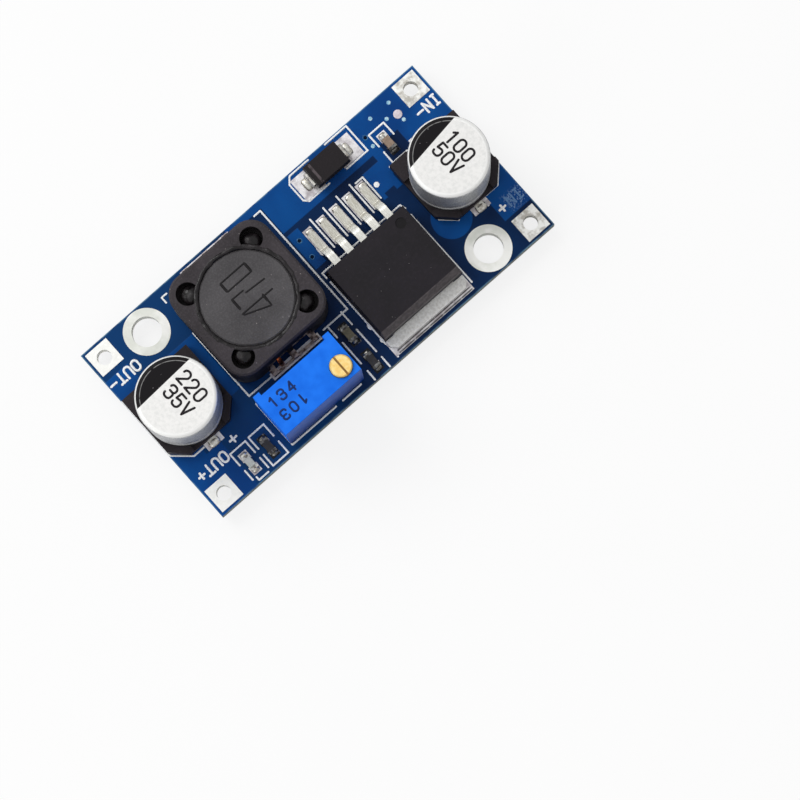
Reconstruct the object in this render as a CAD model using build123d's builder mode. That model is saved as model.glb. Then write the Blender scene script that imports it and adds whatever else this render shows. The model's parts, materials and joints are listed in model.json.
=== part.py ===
from build123d import *
from math import cos, pi, radians, sin, sqrt
import os

# Board. The long side runs along X from the output end to the input end.
BOARD_LENGTH = 43.2
BOARD_WIDTH = 21.0
BOARD_THICKNESS = 1.6
JOINT_DROP = 1.0
UNDERSIDE = JOINT_DROP
TOP = UNDERSIDE + BOARD_THICKNESS

# Plated copper: flat lands, and barrels through the board.
LAND_THICKNESS = 0.05
LAND_TOP = TOP + LAND_THICKNESS
LAND_BOTTOM = UNDERSIDE - LAND_THICKNESS
LAND_MARGIN = 0.2
BARREL_WALL = 0.15
BARREL_CLEARANCE = 0.02

# Two mounting holes on one diagonal. Insets run from the board's edges to centres.
MOUNTING_BORE = 3.0
MOUNTING_RING = 4.7
MOUNTING_INSET_X = 6.4
MOUNTING_INSET_Y = 2.5

# Four square terminals, one at each corner.
TERMINAL_SIZE = 2.7
TERMINAL_BORE = 1.5
TERMINAL_INSET = 1.65

# Can capacitors, one at each end.
CAPACITOR_END_INSET = 4.25
CAPACITOR_Y = 0.15
CAN_DIAMETER = 8.0
CAN_HEIGHT = 9.0
CAN_ROUND = 0.45
CAN_FOOT_CHAMFER = 0.15
NECK_HEIGHT = 1.5
NECK_WIDTH = 0.9
NECK_DEPTH = 0.3
BASE_SIZE = 8.3
BASE_THICKNESS = 1.1
BASE_CORNER_CUT = 1.6
BASE_POST_HEIGHT = 0.8
BASE_POST_CLEARANCE = 0.05
CAPACITOR_LEAD_WIDTH = 0.9
CAPACITOR_LEAD_THICKNESS = 0.2
CAPACITOR_LEAD_INNER = 1.2
CAPACITOR_LEAD_REACH = 0.65
CAPACITOR_LAND_WIDTH = 2.0
SPARE_HOLE_PITCH = 3.5
SPARE_HOLE_BORE = 0.9
SPARE_HOLE_RING = 1.8

# Shielded inductor: a square ferrite ring round a drum, on two clips.
INDUCTOR_INSET_X = 15.7
INDUCTOR_INSET_Y = 7.35
SHIELD_SIZE = 12.0
SHIELD_CORNER = 2.2
SHIELD_HEIGHT = 6.7
SHIELD_TOP_EDGE = 0.2
CORE_DIAMETER = 9.5
CORE_GROOVE = 0.3
CORE_EDGE = 0.25
CORE_SINK = 0.08
CORE_FLANGE = 1.3
CORE_POST = 4.4
GLUE_NOTCH = 2.3
GLUE_NOTCH_SHIFT = 0.7
GLUE_NOTCH_DEPTH = 1.6
WINDING_INSET = 0.35
WINDING_CLEARANCE = 0.02
WINDOW_WIDTH = 2.4
WINDOW_HEIGHT = 3.6
WINDOW_POST = 0.6
CLIP_WIDTH = 5.8
CLIP_THICKNESS = 0.3
CLIP_REACH = 0.85
CLIP_INNER = 1.6
CLIP_TAB_WIDTH = 0.7
CLIP_TAB_HEIGHT = 0.9
CLIP_WINDOW_UNDER = 0.3
CLIP_LAND_LENGTH = 0.8
WIRE_DIAMETER = 0.5

# Five-lead regulator with a heat-spreading tab.
REGULATOR_INSET_X = 15.1
REGULATOR_INSET_Y = 6.52
REGULATOR_WIDTH = 10.1
REGULATOR_LENGTH = 8.75
REGULATOR_HEIGHT = 4.4
REGULATOR_DRAFT = 5.0
REGULATOR_BEVEL_REACH = 0.45
REGULATOR_BEVEL_DROP = 0.9
PARTING_HEIGHT = 2.2
DIMPLE_DIAMETER = 1.1
DIMPLE_DEPTH = 0.1
DIMPLE_INSET_X = 1.45
DIMPLE_INSET_Y = 1.35
TAB_THICKNESS = 1.3
TAB_REACH = 1.2
TAB_CORNER = 0.55
TAB_UNDER = 6.9
TAB_SIDE_INSET = 0.1
TAB_UNDER_INSET = 1.1
TAB_LAND_REACH = 0.5
LEAD_COUNT = 5
LEAD_PITCH = 1.7
LEAD_WIDTH = 0.8
LEAD_THICKNESS = 0.5
LEAD_ANCHOR = 0.8
LEAD_SHOULDER = 1.25
LEAD_RUN = 0.75
LEAD_FOOT = 2.2
LEAD_INNER_BEND = 0.2
LEAD_LAND_REACH = 0.65

# Rectifier diode with leads bent under its ends.
DIODE_INSET_X = 12.9
DIODE_INSET_Y = 2.0
DIODE_LENGTH = 4.1
DIODE_WIDTH = 2.6
DIODE_HEIGHT = 2.0
DIODE_STANDOFF = 0.12
DIODE_DRAFT = 6.0
DIODE_LEAD_WIDTH = 1.45
DIODE_LEAD_THICKNESS = 0.2
DIODE_LEAD_GAP = 0.25
DIODE_LEAD_FOOT = 1.1
DIODE_LEAD_INNER_BEND = 0.05
DIODE_LAND_REACH = 1.4

# Chip parts. All of them lie with their ends along Y.
CHIP_LENGTH = 1.6
CHIP_WIDTH = 0.8
CHIP_CAP_LENGTH = 0.3
CHIP_CAP_WALL = 0.03
CHIP_LAND_LENGTH = 0.95
CHIP_CAPACITOR_HEIGHT = 0.8
RESISTOR_HEIGHT = 0.45
LED_CARRIER_HEIGHT = 0.3
LED_LENS_HEIGHT = 0.4
LED_LENS_LENGTH = 1.0
LED_LENS_DRAFT = 6.0
INPUT_CHIP_INSET_X = 6.83
INPUT_CHIP_INSET_Y = 4.2
FEEDBACK_INSET_X = 21.0
FEEDBACK_RESISTOR_INSET_Y = 1.75
FEEDBACK_CHIP_PITCH = 3.45
LED_INSET_X = 5.5
LED_INSET_Y = 2.2
LED_RESISTOR_PITCH = 2.4

# Multi-turn trimmer: housing, adjusting screw and worm drive.
TRIMMER_INSET_X = 14.45
TRIMMER_INSET_Y = 3.33
TRIMMER_LENGTH = 9.53
TRIMMER_DEPTH = 4.83
TRIMMER_HEIGHT = 10.03
TRIMMER_STANDOFF = 0.4
TRIMMER_RIB_WIDTH = 0.75
TRIMMER_RIB_DEPTH = 0.4
TRIMMER_WALL = 0.45
TRIMMER_FRONT_WALL = 0.6
TRIMMER_ROOF = 1.5
TRIMMER_FLOOR = 0.55
SCREW_HEAD = 2.2
SCREW_HEAD_SUNK = 0.45
SCREW_HEAD_PROUD = 0.45
SCREW_HEAD_EDGE = 0.12
SCREW_SLOT_WIDTH = 0.22
SCREW_SLOT_DEPTH = 0.4
SCREW_EDGE_WALL = 0.13
SCREW_INSET_Y = 1.5
SCREW_CLEARANCE = 0.05
SHAFT_DIAMETER = 1.2
PIVOT_DIAMETER = 0.7
PIVOT_DEPTH = 0.35
SEAL_GLAND = 0.5
SEAL_GAP = 0.03
WORM_DIAMETER = 1.36
WORM_ROOT = 0.84
WORM_TURNS = 5
THREAD_TIP = 0.12
THREAD_FOOT = 0.24
WHEEL_TEETH = 28
WHEEL_DIAMETER = 6.2
WHEEL_THICKNESS = 1.2
WHEEL_CLEARANCE = 0.1
TOOTH_DEPTH = 0.38
TOOTH_TIP = 0.2
TOOTH_FOOT = 0.3
AXLE_DIAMETER = 1.2
AXLE_CLEARANCE = 0.05
WHEEL_WALL_GAP = 0.2
ELEMENT_THICKNESS = 0.6
ELEMENT_GAP = 0.1
TRACK_THICKNESS = 0.04
TRACK_INNER = 1.9
TRACK_OUTER = 2.5
TRACK_SWEEP = 290
COLLECTOR_INNER = 0.75
COLLECTOR_OUTER = 1.15
WIPER_THICKNESS = 0.12
WIPER_WIDTH = 0.5
WIPER_PLATE = 1.5
WIPER_TIP_GAP = 0.04
POTTING_SINK = 0.1
PIN_PITCH = 2.54
PIN_OFFSET = 0.2
PIN_COUNT = 3
PIN_DIAMETER = 0.5
PIN_BORE = 0.8
PIN_RING = 1.8
PIN_CLEARANCE = 0.05
PIN_TIP_COVER = 0.15
PIN_TOP_ABOVE_FLOOR = 0.55
JOINT_DIAMETER = 1.7
JOINT_TIP = 0.3
JOINT_BULGE = 0.25

# Places that follow from the sizes above.
HALF_LENGTH = BOARD_LENGTH / 2
HALF_WIDTH = BOARD_WIDTH / 2
INPUT_CAPACITOR_X = HALF_LENGTH - CAPACITOR_END_INSET
OUTPUT_CAPACITOR_X = -INPUT_CAPACITOR_X
INDUCTOR_X = INDUCTOR_INSET_X - HALF_LENGTH
INDUCTOR_Y = HALF_WIDTH - INDUCTOR_INSET_Y
REGULATOR_X = HALF_LENGTH - REGULATOR_INSET_X
REGULATOR_Y = REGULATOR_INSET_Y - HALF_WIDTH
DIODE_X = HALF_LENGTH - DIODE_INSET_X
DIODE_Y = HALF_WIDTH - DIODE_INSET_Y
TRIMMER_X = TRIMMER_INSET_X - HALF_LENGTH
TRIMMER_Y = TRIMMER_INSET_Y - HALF_WIDTH
INPUT_CHIP_PLACE = (HALF_LENGTH - INPUT_CHIP_INSET_X, HALF_WIDTH - INPUT_CHIP_INSET_Y)
FEEDBACK_RESISTOR_PLACE = (FEEDBACK_INSET_X - HALF_LENGTH, FEEDBACK_RESISTOR_INSET_Y - HALF_WIDTH)
FEEDBACK_CHIP_PLACE = (FEEDBACK_RESISTOR_PLACE[0], FEEDBACK_RESISTOR_PLACE[1] + FEEDBACK_CHIP_PITCH)
LED_PLACE = (LED_INSET_X - HALF_LENGTH, LED_INSET_Y - HALF_WIDTH)
LED_RESISTOR_PLACE = (LED_PLACE[0] + LED_RESISTOR_PITCH, LED_PLACE[1])
MOUNTING_X = HALF_LENGTH - MOUNTING_INSET_X
MOUNTING_Y = HALF_WIDTH - MOUNTING_INSET_Y
MOUNTING_POINTS = [(-MOUNTING_X, MOUNTING_Y), (MOUNTING_X, -MOUNTING_Y)]
TERMINAL_X = HALF_LENGTH - TERMINAL_INSET
TERMINAL_Y = HALF_WIDTH - TERMINAL_INSET
TERMINAL_POINTS = [(x, y) for x in (-TERMINAL_X, TERMINAL_X) for y in (-TERMINAL_Y, TERMINAL_Y)]
SPARE_POINTS = [
    (x, CAPACITOR_Y + side * SPARE_HOLE_PITCH / 2)
    for x in (OUTPUT_CAPACITOR_X, INPUT_CAPACITOR_X)
    for side in (-1, 1)
]

TRIMMER_RIGHT = TRIMMER_X + TRIMMER_LENGTH / 2
TRIMMER_FRONT = TRIMMER_Y - TRIMMER_DEPTH / 2
TRIMMER_BACK = TRIMMER_Y + TRIMMER_DEPTH / 2 - TRIMMER_RIB_DEPTH
TRIMMER_TOP = TOP + TRIMMER_HEIGHT
CAVITY_FRONT = TRIMMER_FRONT + TRIMMER_FRONT_WALL
CAVITY_LENGTH = TRIMMER_LENGTH - 2 * TRIMMER_WALL
CAVITY_FLOOR = TOP + TRIMMER_STANDOFF + TRIMMER_FLOOR
CAVITY_ROOF = TRIMMER_TOP - TRIMMER_ROOF
CAVITY_HEIGHT = CAVITY_ROOF - CAVITY_FLOOR
SCREW_X = TRIMMER_RIGHT - SCREW_EDGE_WALL - SCREW_CLEARANCE - SCREW_HEAD / 2
SCREW_Y = TRIMMER_FRONT + SCREW_INSET_Y
WORM_DISTANCE = WHEEL_DIAMETER / 2 + WORM_ROOT / 2 + WHEEL_CLEARANCE
WHEEL_X = SCREW_X - WORM_DISTANCE
WHEEL_Z = (CAVITY_FLOOR + CAVITY_ROOF) / 2
WHEEL_FRONT = CAVITY_FRONT + WHEEL_WALL_GAP
WHEEL_BACK = WHEEL_FRONT + WHEEL_THICKNESS
WORM_PITCH = 2 * pi * (WORM_DISTANCE - (WORM_DIAMETER + WORM_ROOT) / 4) / WHEEL_TEETH
PIN_Y = TRIMMER_Y + PIN_OFFSET
ELEMENT_FRONT = PIN_Y + PIN_DIAMETER / 2
ELEMENT_BACK = ELEMENT_FRONT + ELEMENT_THICKNESS
TRACK_FRONT = ELEMENT_FRONT - TRACK_THICKNESS
PIN_POINTS = [(TRIMMER_X + (i - (PIN_COUNT - 1) / 2) * PIN_PITCH, PIN_Y) for i in range(PIN_COUNT)]


def keep(name, piece):
    """Names a finished piece and writes it out."""
    piece.part.label = name
    export_step(piece.part, f"parts/{name}.step")


def barrel_hole(bore):
    """Diameter of the hole that takes a plated barrel of this bore."""
    return bore + 2 * (BARREL_WALL + BARREL_CLEARANCE)


def plated_holes(points, bore, rim, square=False):
    """Barrels through the board with a flat land on each face."""
    with BuildPart() as lands:
        for level in (LAND_BOTTOM, TOP):
            with BuildSketch(Plane.XY.offset(level)):
                with Locations(*points):
                    if square:
                        Rectangle(rim, rim)
                    else:
                        Circle(rim / 2)
            extrude(amount=LAND_THICKNESS)
        with BuildSketch(Plane.XY.offset(LAND_BOTTOM)):
            with Locations(*points):
                Circle(bore / 2 + BARREL_WALL)
        extrude(amount=LAND_TOP - LAND_BOTTOM)
        with BuildSketch(Plane.XY.offset(LAND_BOTTOM)):
            with Locations(*points):
                Circle(bore / 2)
        extrude(amount=LAND_TOP - LAND_BOTTOM, mode=Mode.SUBTRACT)
    return lands


def build_board():
    """Laminate with its holes, and the plated lands on it."""
    with BuildPart() as circuit_board:
        with BuildSketch(Plane.XY.offset(UNDERSIDE)):
            Rectangle(BOARD_LENGTH, BOARD_WIDTH)
            with Locations(*MOUNTING_POINTS):
                Circle(barrel_hole(MOUNTING_BORE) / 2, mode=Mode.SUBTRACT)
            with Locations(*TERMINAL_POINTS):
                Circle(barrel_hole(TERMINAL_BORE) / 2, mode=Mode.SUBTRACT)
            with Locations(*SPARE_POINTS):
                Circle(barrel_hole(SPARE_HOLE_BORE) / 2, mode=Mode.SUBTRACT)
            with Locations(*PIN_POINTS):
                Circle(barrel_hole(PIN_BORE) / 2, mode=Mode.SUBTRACT)
        extrude(amount=BOARD_THICKNESS)
    keep("circuit_board", circuit_board)
    keep("mounting_hole_lands", plated_holes(MOUNTING_POINTS, MOUNTING_BORE, MOUNTING_RING))
    keep("terminal_lands", plated_holes(TERMINAL_POINTS, TERMINAL_BORE, TERMINAL_SIZE, square=True))
    keep("spare_hole_lands", plated_holes(SPARE_POINTS, SPARE_HOLE_BORE, SPARE_HOLE_RING))
    keep("trimmer_hole_lands", plated_holes(PIN_POINTS, PIN_BORE, PIN_RING))


def chip_land_points(place):
    """Centres of the two lands under a chip part."""
    step = (CHIP_LENGTH + CHIP_CAP_LENGTH) / 2 - CHIP_CAP_LENGTH / 2
    return [(place[0], place[1] + side * step) for side in (-1, 1)]


def lead_places():
    """X of each regulator lead."""
    first = REGULATOR_X - (LEAD_COUNT - 1) / 2 * LEAD_PITCH
    return [first + i * LEAD_PITCH for i in range(LEAD_COUNT)]


def build_surface_lands():
    """Flat tinned lands that the surface parts are soldered to."""
    clip_land_y = SHIELD_SIZE / 2 + CLIP_REACH + LAND_MARGIN - CLIP_LAND_LENGTH / 2
    cap_land_length = CAPACITOR_LEAD_REACH + CAPACITOR_LEAD_INNER + LAND_MARGIN
    cap_land_y = BASE_SIZE / 2 + CAPACITOR_LEAD_REACH + LAND_MARGIN - cap_land_length / 2
    lead_tip = REGULATOR_Y + REGULATOR_LENGTH / 2 + LEAD_SHOULDER + LEAD_RUN + LEAD_FOOT
    lead_land_length = LEAD_FOOT + LEAD_LAND_REACH + LAND_MARGIN
    body_edge = REGULATOR_Y - REGULATOR_LENGTH / 2
    tab_strip_length = TAB_REACH + TAB_LAND_REACH
    tab_land_length = tab_strip_length + TAB_UNDER
    diode_land_length = DIODE_LEAD_FOOT + DIODE_LAND_REACH
    diode_land_x = DIODE_LENGTH / 2 + DIODE_LEAD_GAP + DIODE_LAND_REACH - diode_land_length / 2
    with BuildPart() as surface_lands:
        with BuildSketch(Plane.XY.offset(TOP)):
            for x in (OUTPUT_CAPACITOR_X, INPUT_CAPACITOR_X):
                with Locations((x, CAPACITOR_Y - cap_land_y), (x, CAPACITOR_Y + cap_land_y)):
                    Rectangle(CAPACITOR_LAND_WIDTH, cap_land_length)
            with Locations((INDUCTOR_X, INDUCTOR_Y - clip_land_y), (INDUCTOR_X, INDUCTOR_Y + clip_land_y)):
                Rectangle(CLIP_WIDTH + 2 * LAND_MARGIN, CLIP_LAND_LENGTH)
            with Locations((REGULATOR_X, body_edge - tab_strip_length / 2)):
                Rectangle(REGULATOR_WIDTH, tab_strip_length)
            with Locations((REGULATOR_X, body_edge - tab_strip_length + tab_land_length / 2)):
                Rectangle(REGULATOR_WIDTH - 2 * TAB_UNDER_INSET, tab_land_length)
            with Locations(*[(x, lead_tip + LEAD_LAND_REACH - lead_land_length / 2) for x in lead_places()]):
                Rectangle(LEAD_WIDTH + LAND_MARGIN, lead_land_length)
            with Locations((DIODE_X - diode_land_x, DIODE_Y), (DIODE_X + diode_land_x, DIODE_Y)):
                Rectangle(diode_land_length, DIODE_WIDTH)
            for place in (
                INPUT_CHIP_PLACE,
                FEEDBACK_CHIP_PLACE,
                FEEDBACK_RESISTOR_PLACE,
                LED_RESISTOR_PLACE,
                LED_PLACE,
            ):
                with Locations(*chip_land_points(place)):
                    Rectangle(CHIP_WIDTH + LAND_MARGIN, CHIP_LAND_LENGTH)
        extrude(amount=LAND_THICKNESS)
    keep("surface_lands", surface_lands)


def build_capacitor(name, x):
    """Aluminium can on a moulded base, with two flat leads along Y."""
    axis = Axis((x, CAPACITOR_Y, 0), (0, 0, 1))
    base_bottom = LAND_TOP
    seat = base_bottom + BASE_THICKNESS
    crown = seat + CAN_HEIGHT
    radius = CAN_DIAMETER / 2
    neck = seat + NECK_HEIGHT
    bend = CAN_ROUND * (1 - sqrt(0.5))

    with BuildPart() as leads:
        length = BASE_SIZE / 2 - CAPACITOR_LEAD_INNER + CAPACITOR_LEAD_REACH
        with BuildSketch(Plane.XY.offset(base_bottom)):
            for side in (-1, 1):
                with Locations((x, CAPACITOR_Y + side * (CAPACITOR_LEAD_INNER + length / 2))):
                    Rectangle(CAPACITOR_LEAD_WIDTH, length)
        extrude(amount=CAPACITOR_LEAD_THICKNESS)

    with BuildPart() as base:
        with BuildSketch(Plane.XY.offset(base_bottom)) as outline:
            with Locations((x, CAPACITOR_Y)):
                Rectangle(BASE_SIZE, BASE_SIZE)
            chamfer(outline.vertices().group_by(Axis.Y)[0], BASE_CORNER_CUT)
        extrude(amount=BASE_THICKNESS + BASE_POST_HEIGHT)
        with BuildSketch(Plane.XY.offset(seat)):
            with Locations((x, CAPACITOR_Y)):
                Circle(radius + BASE_POST_CLEARANCE)
                Rectangle(BASE_SIZE, radius)
                Rectangle(radius, BASE_SIZE)
        extrude(amount=BASE_POST_HEIGHT, mode=Mode.SUBTRACT)
        add(leads.part, mode=Mode.SUBTRACT)

    with BuildPart() as can:
        with BuildSketch(Plane((x, CAPACITOR_Y, 0), x_dir=(1, 0, 0), z_dir=(0, -1, 0))):
            with BuildLine():
                Polyline((0, seat), (radius - CAN_FOOT_CHAMFER, seat), (radius, seat + CAN_FOOT_CHAMFER))
                Line((radius, seat + CAN_FOOT_CHAMFER), (radius, neck - NECK_WIDTH / 2))
                ThreePointArc(
                    (radius, neck - NECK_WIDTH / 2), (radius - NECK_DEPTH, neck), (radius, neck + NECK_WIDTH / 2)
                )
                Line((radius, neck + NECK_WIDTH / 2), (radius, crown - CAN_ROUND))
                ThreePointArc((radius, crown - CAN_ROUND), (radius - bend, crown - bend), (radius - CAN_ROUND, crown))
                Polyline((radius - CAN_ROUND, crown), (0, crown), (0, seat))
            make_face()
        revolve(axis=axis)

    keep(f"{name}_capacitor_can", can)
    keep(f"{name}_capacitor_base", base)
    keep(f"{name}_capacitor_leads", leads)


def build_inductor():
    """Wound drum in a square ring, on two soldered clips. Each wire end comes down through a clip."""
    floor = LAND_TOP + CLIP_THICKNESS
    roof = floor + SHIELD_HEIGHT
    bore = CORE_DIAMETER / 2 + CORE_GROOVE
    core_top = roof - CORE_SINK
    window_step = (WINDOW_WIDTH + WINDOW_POST) / 2
    axis = Axis((INDUCTOR_X, INDUCTOR_Y, 0), (0, 0, 1))
    side_plane = Plane((INDUCTOR_X, INDUCTOR_Y, 0), x_dir=(1, 0, 0), z_dir=(0, -1, 0))

    with BuildPart() as shield:
        with BuildSketch(Plane.XY.offset(floor)):
            with Locations((INDUCTOR_X, INDUCTOR_Y)):
                RectangleRounded(SHIELD_SIZE, SHIELD_SIZE, SHIELD_CORNER)
        extrude(amount=SHIELD_HEIGHT)
        chamfer(shield.faces().sort_by(Axis.Z)[-1].edges(), SHIELD_TOP_EDGE)
        with Locations((INDUCTOR_X, INDUCTOR_Y, floor + SHIELD_HEIGHT / 2)):
            Cylinder(bore, SHIELD_HEIGHT, mode=Mode.SUBTRACT)
        with BuildSketch(Plane.XY.offset(roof - GLUE_NOTCH_DEPTH)):
            with Locations((INDUCTOR_X, INDUCTOR_Y)):
                with PolarLocations(bore + GLUE_NOTCH_SHIFT, 4, start_angle=45):
                    Circle(GLUE_NOTCH / 2)
        extrude(amount=GLUE_NOTCH_DEPTH, mode=Mode.SUBTRACT)
        with BuildSketch(side_plane):
            with Locations((-window_step, floor + WINDOW_HEIGHT / 2), (window_step, floor + WINDOW_HEIGHT / 2)):
                Rectangle(WINDOW_WIDTH, WINDOW_HEIGHT)
        extrude(amount=SHIELD_SIZE, both=True, mode=Mode.SUBTRACT)

    with BuildPart() as core:
        radius = CORE_DIAMETER / 2
        with BuildSketch(side_plane):
            with BuildLine():
                Polyline(
                    (0, floor),
                    (radius, floor),
                    (radius, floor + CORE_FLANGE),
                    (CORE_POST / 2, floor + CORE_FLANGE),
                    (CORE_POST / 2, core_top - CORE_FLANGE),
                    (radius, core_top - CORE_FLANGE),
                    (radius, core_top - CORE_EDGE),
                    (radius - CORE_EDGE, core_top),
                    (0, core_top),
                    close=True,
                )
            make_face()
        revolve(axis=axis)

    coil_bottom = floor + CORE_FLANGE + WINDING_CLEARANCE
    coil_top = core_top - CORE_FLANGE - WINDING_CLEARANCE
    coil_radius = CORE_DIAMETER / 2 - WINDING_INSET
    wire_z = floor + CORE_FLANGE + WIRE_DIAMETER
    tab_plane_y = SHIELD_SIZE / 2 + CLIP_REACH - CLIP_THICKNESS
    wire_foot_y = tab_plane_y - WIRE_DIAMETER / 2 - WINDING_CLEARANCE
    with BuildPart() as winding:
        with Locations((INDUCTOR_X, INDUCTOR_Y, (coil_bottom + coil_top) / 2)):
            Cylinder(coil_radius, coil_top - coil_bottom)
            Cylinder(CORE_POST / 2 + WINDING_CLEARANCE, coil_top - coil_bottom, mode=Mode.SUBTRACT)
        for side in (-1, 1):
            with BuildLine() as wire_path:
                FilletPolyline(
                    (INDUCTOR_X + side * window_step, INDUCTOR_Y + side * (coil_radius - WIRE_DIAMETER), wire_z),
                    (INDUCTOR_X + side * window_step, INDUCTOR_Y + side * wire_foot_y, wire_z),
                    (INDUCTOR_X + side * window_step, INDUCTOR_Y + side * wire_foot_y, LAND_TOP),
                    radius=WIRE_DIAMETER,
                )
            with BuildSketch(Plane(wire_path.line @ 0, z_dir=wire_path.line % 0)):
                Circle(WIRE_DIAMETER / 2)
            sweep(path=wire_path.line)

    with BuildPart() as terminals:
        reach = SHIELD_SIZE / 2 + CLIP_REACH
        inner = SHIELD_SIZE / 2 - CLIP_INNER
        tab_step = (CLIP_WIDTH - CLIP_TAB_WIDTH) / 2
        window_inner = SHIELD_SIZE / 2 - CLIP_WINDOW_UNDER
        for side in (-1, 1):
            with BuildSketch(Plane.XY.offset(LAND_TOP)):
                with Locations((INDUCTOR_X, INDUCTOR_Y + side * (reach + inner) / 2)):
                    Rectangle(CLIP_WIDTH, reach - inner)
                with Locations(*[
                    (INDUCTOR_X + step, INDUCTOR_Y + side * (tab_plane_y + window_inner) / 2)
                    for step in (-tab_step / 2, tab_step / 2)
                ]):
                    Rectangle(tab_step - CLIP_TAB_WIDTH, tab_plane_y - window_inner, mode=Mode.SUBTRACT)
            extrude(amount=CLIP_THICKNESS)
            with BuildSketch(Plane.XY.offset(floor)):
                with Locations(*[
                    (INDUCTOR_X + step, INDUCTOR_Y + side * (reach - CLIP_THICKNESS / 2))
                    for step in (-tab_step, 0, tab_step)
                ]):
                    Rectangle(CLIP_TAB_WIDTH, CLIP_THICKNESS)
            extrude(amount=CLIP_TAB_HEIGHT)

    keep("inductor_shield", shield)
    keep("inductor_core", core)
    keep("inductor_winding", winding)
    keep("inductor_terminals", terminals)


def build_regulator():
    """Moulded body round a metal tab and five bent leads."""
    back = REGULATOR_Y + REGULATOR_LENGTH / 2
    front = REGULATOR_Y - REGULATOR_LENGTH / 2
    lead_z = LAND_TOP + PARTING_HEIGHT
    foot_z = LAND_TOP + LEAD_THICKNESS / 2
    crown = LAND_TOP + REGULATOR_HEIGHT

    with BuildPart() as tab:
        tab_width = REGULATOR_WIDTH - 2 * TAB_SIDE_INSET
        tab_length = TAB_REACH + TAB_UNDER
        with BuildSketch(Plane.XY.offset(LAND_TOP)) as outline:
            with Locations((REGULATOR_X, front - TAB_REACH + tab_length / 2)):
                Rectangle(tab_width, tab_length)
            chamfer(outline.vertices().group_by(Axis.Y)[0], TAB_CORNER)
        extrude(amount=TAB_THICKNESS)
        with BuildSketch(Plane.XY.offset(LAND_TOP)):
            for side in (-1, 1):
                with Locations((REGULATOR_X + side * tab_width / 2, front + TAB_UNDER / 2)):
                    Rectangle(2 * TAB_UNDER_INSET, TAB_UNDER)
        extrude(amount=TAB_THICKNESS, mode=Mode.SUBTRACT)

    with BuildPart() as leads:
        for x in lead_places():
            with BuildLine() as path:
                FilletPolyline(
                    (x, back - LEAD_ANCHOR, lead_z),
                    (x, back + LEAD_SHOULDER, lead_z),
                    (x, back + LEAD_SHOULDER + LEAD_RUN, foot_z),
                    (x, back + LEAD_SHOULDER + LEAD_RUN + LEAD_FOOT, foot_z),
                    radius=LEAD_THICKNESS / 2 + LEAD_INNER_BEND,
                )
            with BuildSketch(Plane(path.line @ 0, x_dir=(1, 0, 0), z_dir=path.line % 0)):
                Rectangle(LEAD_WIDTH, LEAD_THICKNESS)
            sweep(path=path.line)

    with BuildPart() as body:
        with BuildSketch(Plane.XY.offset(lead_z)):
            with Locations((REGULATOR_X, REGULATOR_Y)):
                Rectangle(REGULATOR_WIDTH, REGULATOR_LENGTH)
        extrude(amount=crown - lead_z, taper=REGULATOR_DRAFT)
        with BuildSketch(Plane.XY.offset(lead_z)):
            with Locations((REGULATOR_X, REGULATOR_Y)):
                Rectangle(REGULATOR_WIDTH, REGULATOR_LENGTH)
        extrude(amount=LAND_TOP - lead_z, taper=REGULATOR_DRAFT)
        bevel_edge = body.edges().filter_by(Axis.X).group_by(Axis.Z)[-1].sort_by(Axis.Y)[0]
        top_face = body.faces().sort_by(Axis.Z)[-1]
        chamfer(bevel_edge, REGULATOR_BEVEL_REACH, REGULATOR_BEVEL_DROP, reference=top_face)
        with BuildSketch(Plane.XY.offset(crown - DIMPLE_DEPTH)):
            with Locations((REGULATOR_X + REGULATOR_WIDTH / 2 - DIMPLE_INSET_X, back - DIMPLE_INSET_Y)):
                Circle(DIMPLE_DIAMETER / 2)
        extrude(amount=DIMPLE_DEPTH, mode=Mode.SUBTRACT)
        add(tab.part, mode=Mode.SUBTRACT)
        add(leads.part, mode=Mode.SUBTRACT)

    keep("regulator_body", body)
    keep("regulator_tab", tab)
    keep("regulator_leads", leads)


def build_diode():
    """Small moulded diode with a folded lead at each end."""
    floor = LAND_TOP + DIODE_LEAD_THICKNESS + DIODE_STANDOFF
    parting = floor + DIODE_HEIGHT / 2
    half = DIODE_LENGTH / 2
    lead_z = parting
    foot_z = LAND_TOP + DIODE_LEAD_THICKNESS / 2
    drop_x = half + DIODE_LEAD_GAP

    with BuildPart() as leads:
        for side in (-1, 1):
            with BuildLine() as path:
                FilletPolyline(
                    (DIODE_X + side * (half - DIODE_LEAD_GAP), DIODE_Y, lead_z),
                    (DIODE_X + side * drop_x, DIODE_Y, lead_z),
                    (DIODE_X + side * drop_x, DIODE_Y, foot_z),
                    (DIODE_X + side * (drop_x - DIODE_LEAD_FOOT), DIODE_Y, foot_z),
                    radius=DIODE_LEAD_THICKNESS / 2 + DIODE_LEAD_INNER_BEND,
                )
            with BuildSketch(Plane(path.line @ 0, x_dir=(0, 1, 0), z_dir=path.line % 0)):
                Rectangle(DIODE_LEAD_WIDTH, DIODE_LEAD_THICKNESS)
            sweep(path=path.line)

    with BuildPart() as body:
        for rise in (DIODE_HEIGHT / 2, -DIODE_HEIGHT / 2):
            with BuildSketch(Plane.XY.offset(parting)):
                with Locations((DIODE_X, DIODE_Y)):
                    Rectangle(DIODE_LENGTH, DIODE_WIDTH)
            extrude(amount=rise, taper=DIODE_DRAFT)
        add(leads.part, mode=Mode.SUBTRACT)

    keep("diode_body", body)
    keep("diode_leads", leads)


def chip_body(place, height):
    """Ceramic block of a chip part, held inside its end caps."""
    with BuildPart() as body:
        with BuildSketch(Plane.XY.offset(LAND_TOP + CHIP_CAP_WALL)):
            with Locations(place):
                Rectangle(CHIP_WIDTH, CHIP_LENGTH)
        extrude(amount=height)
    return body


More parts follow.
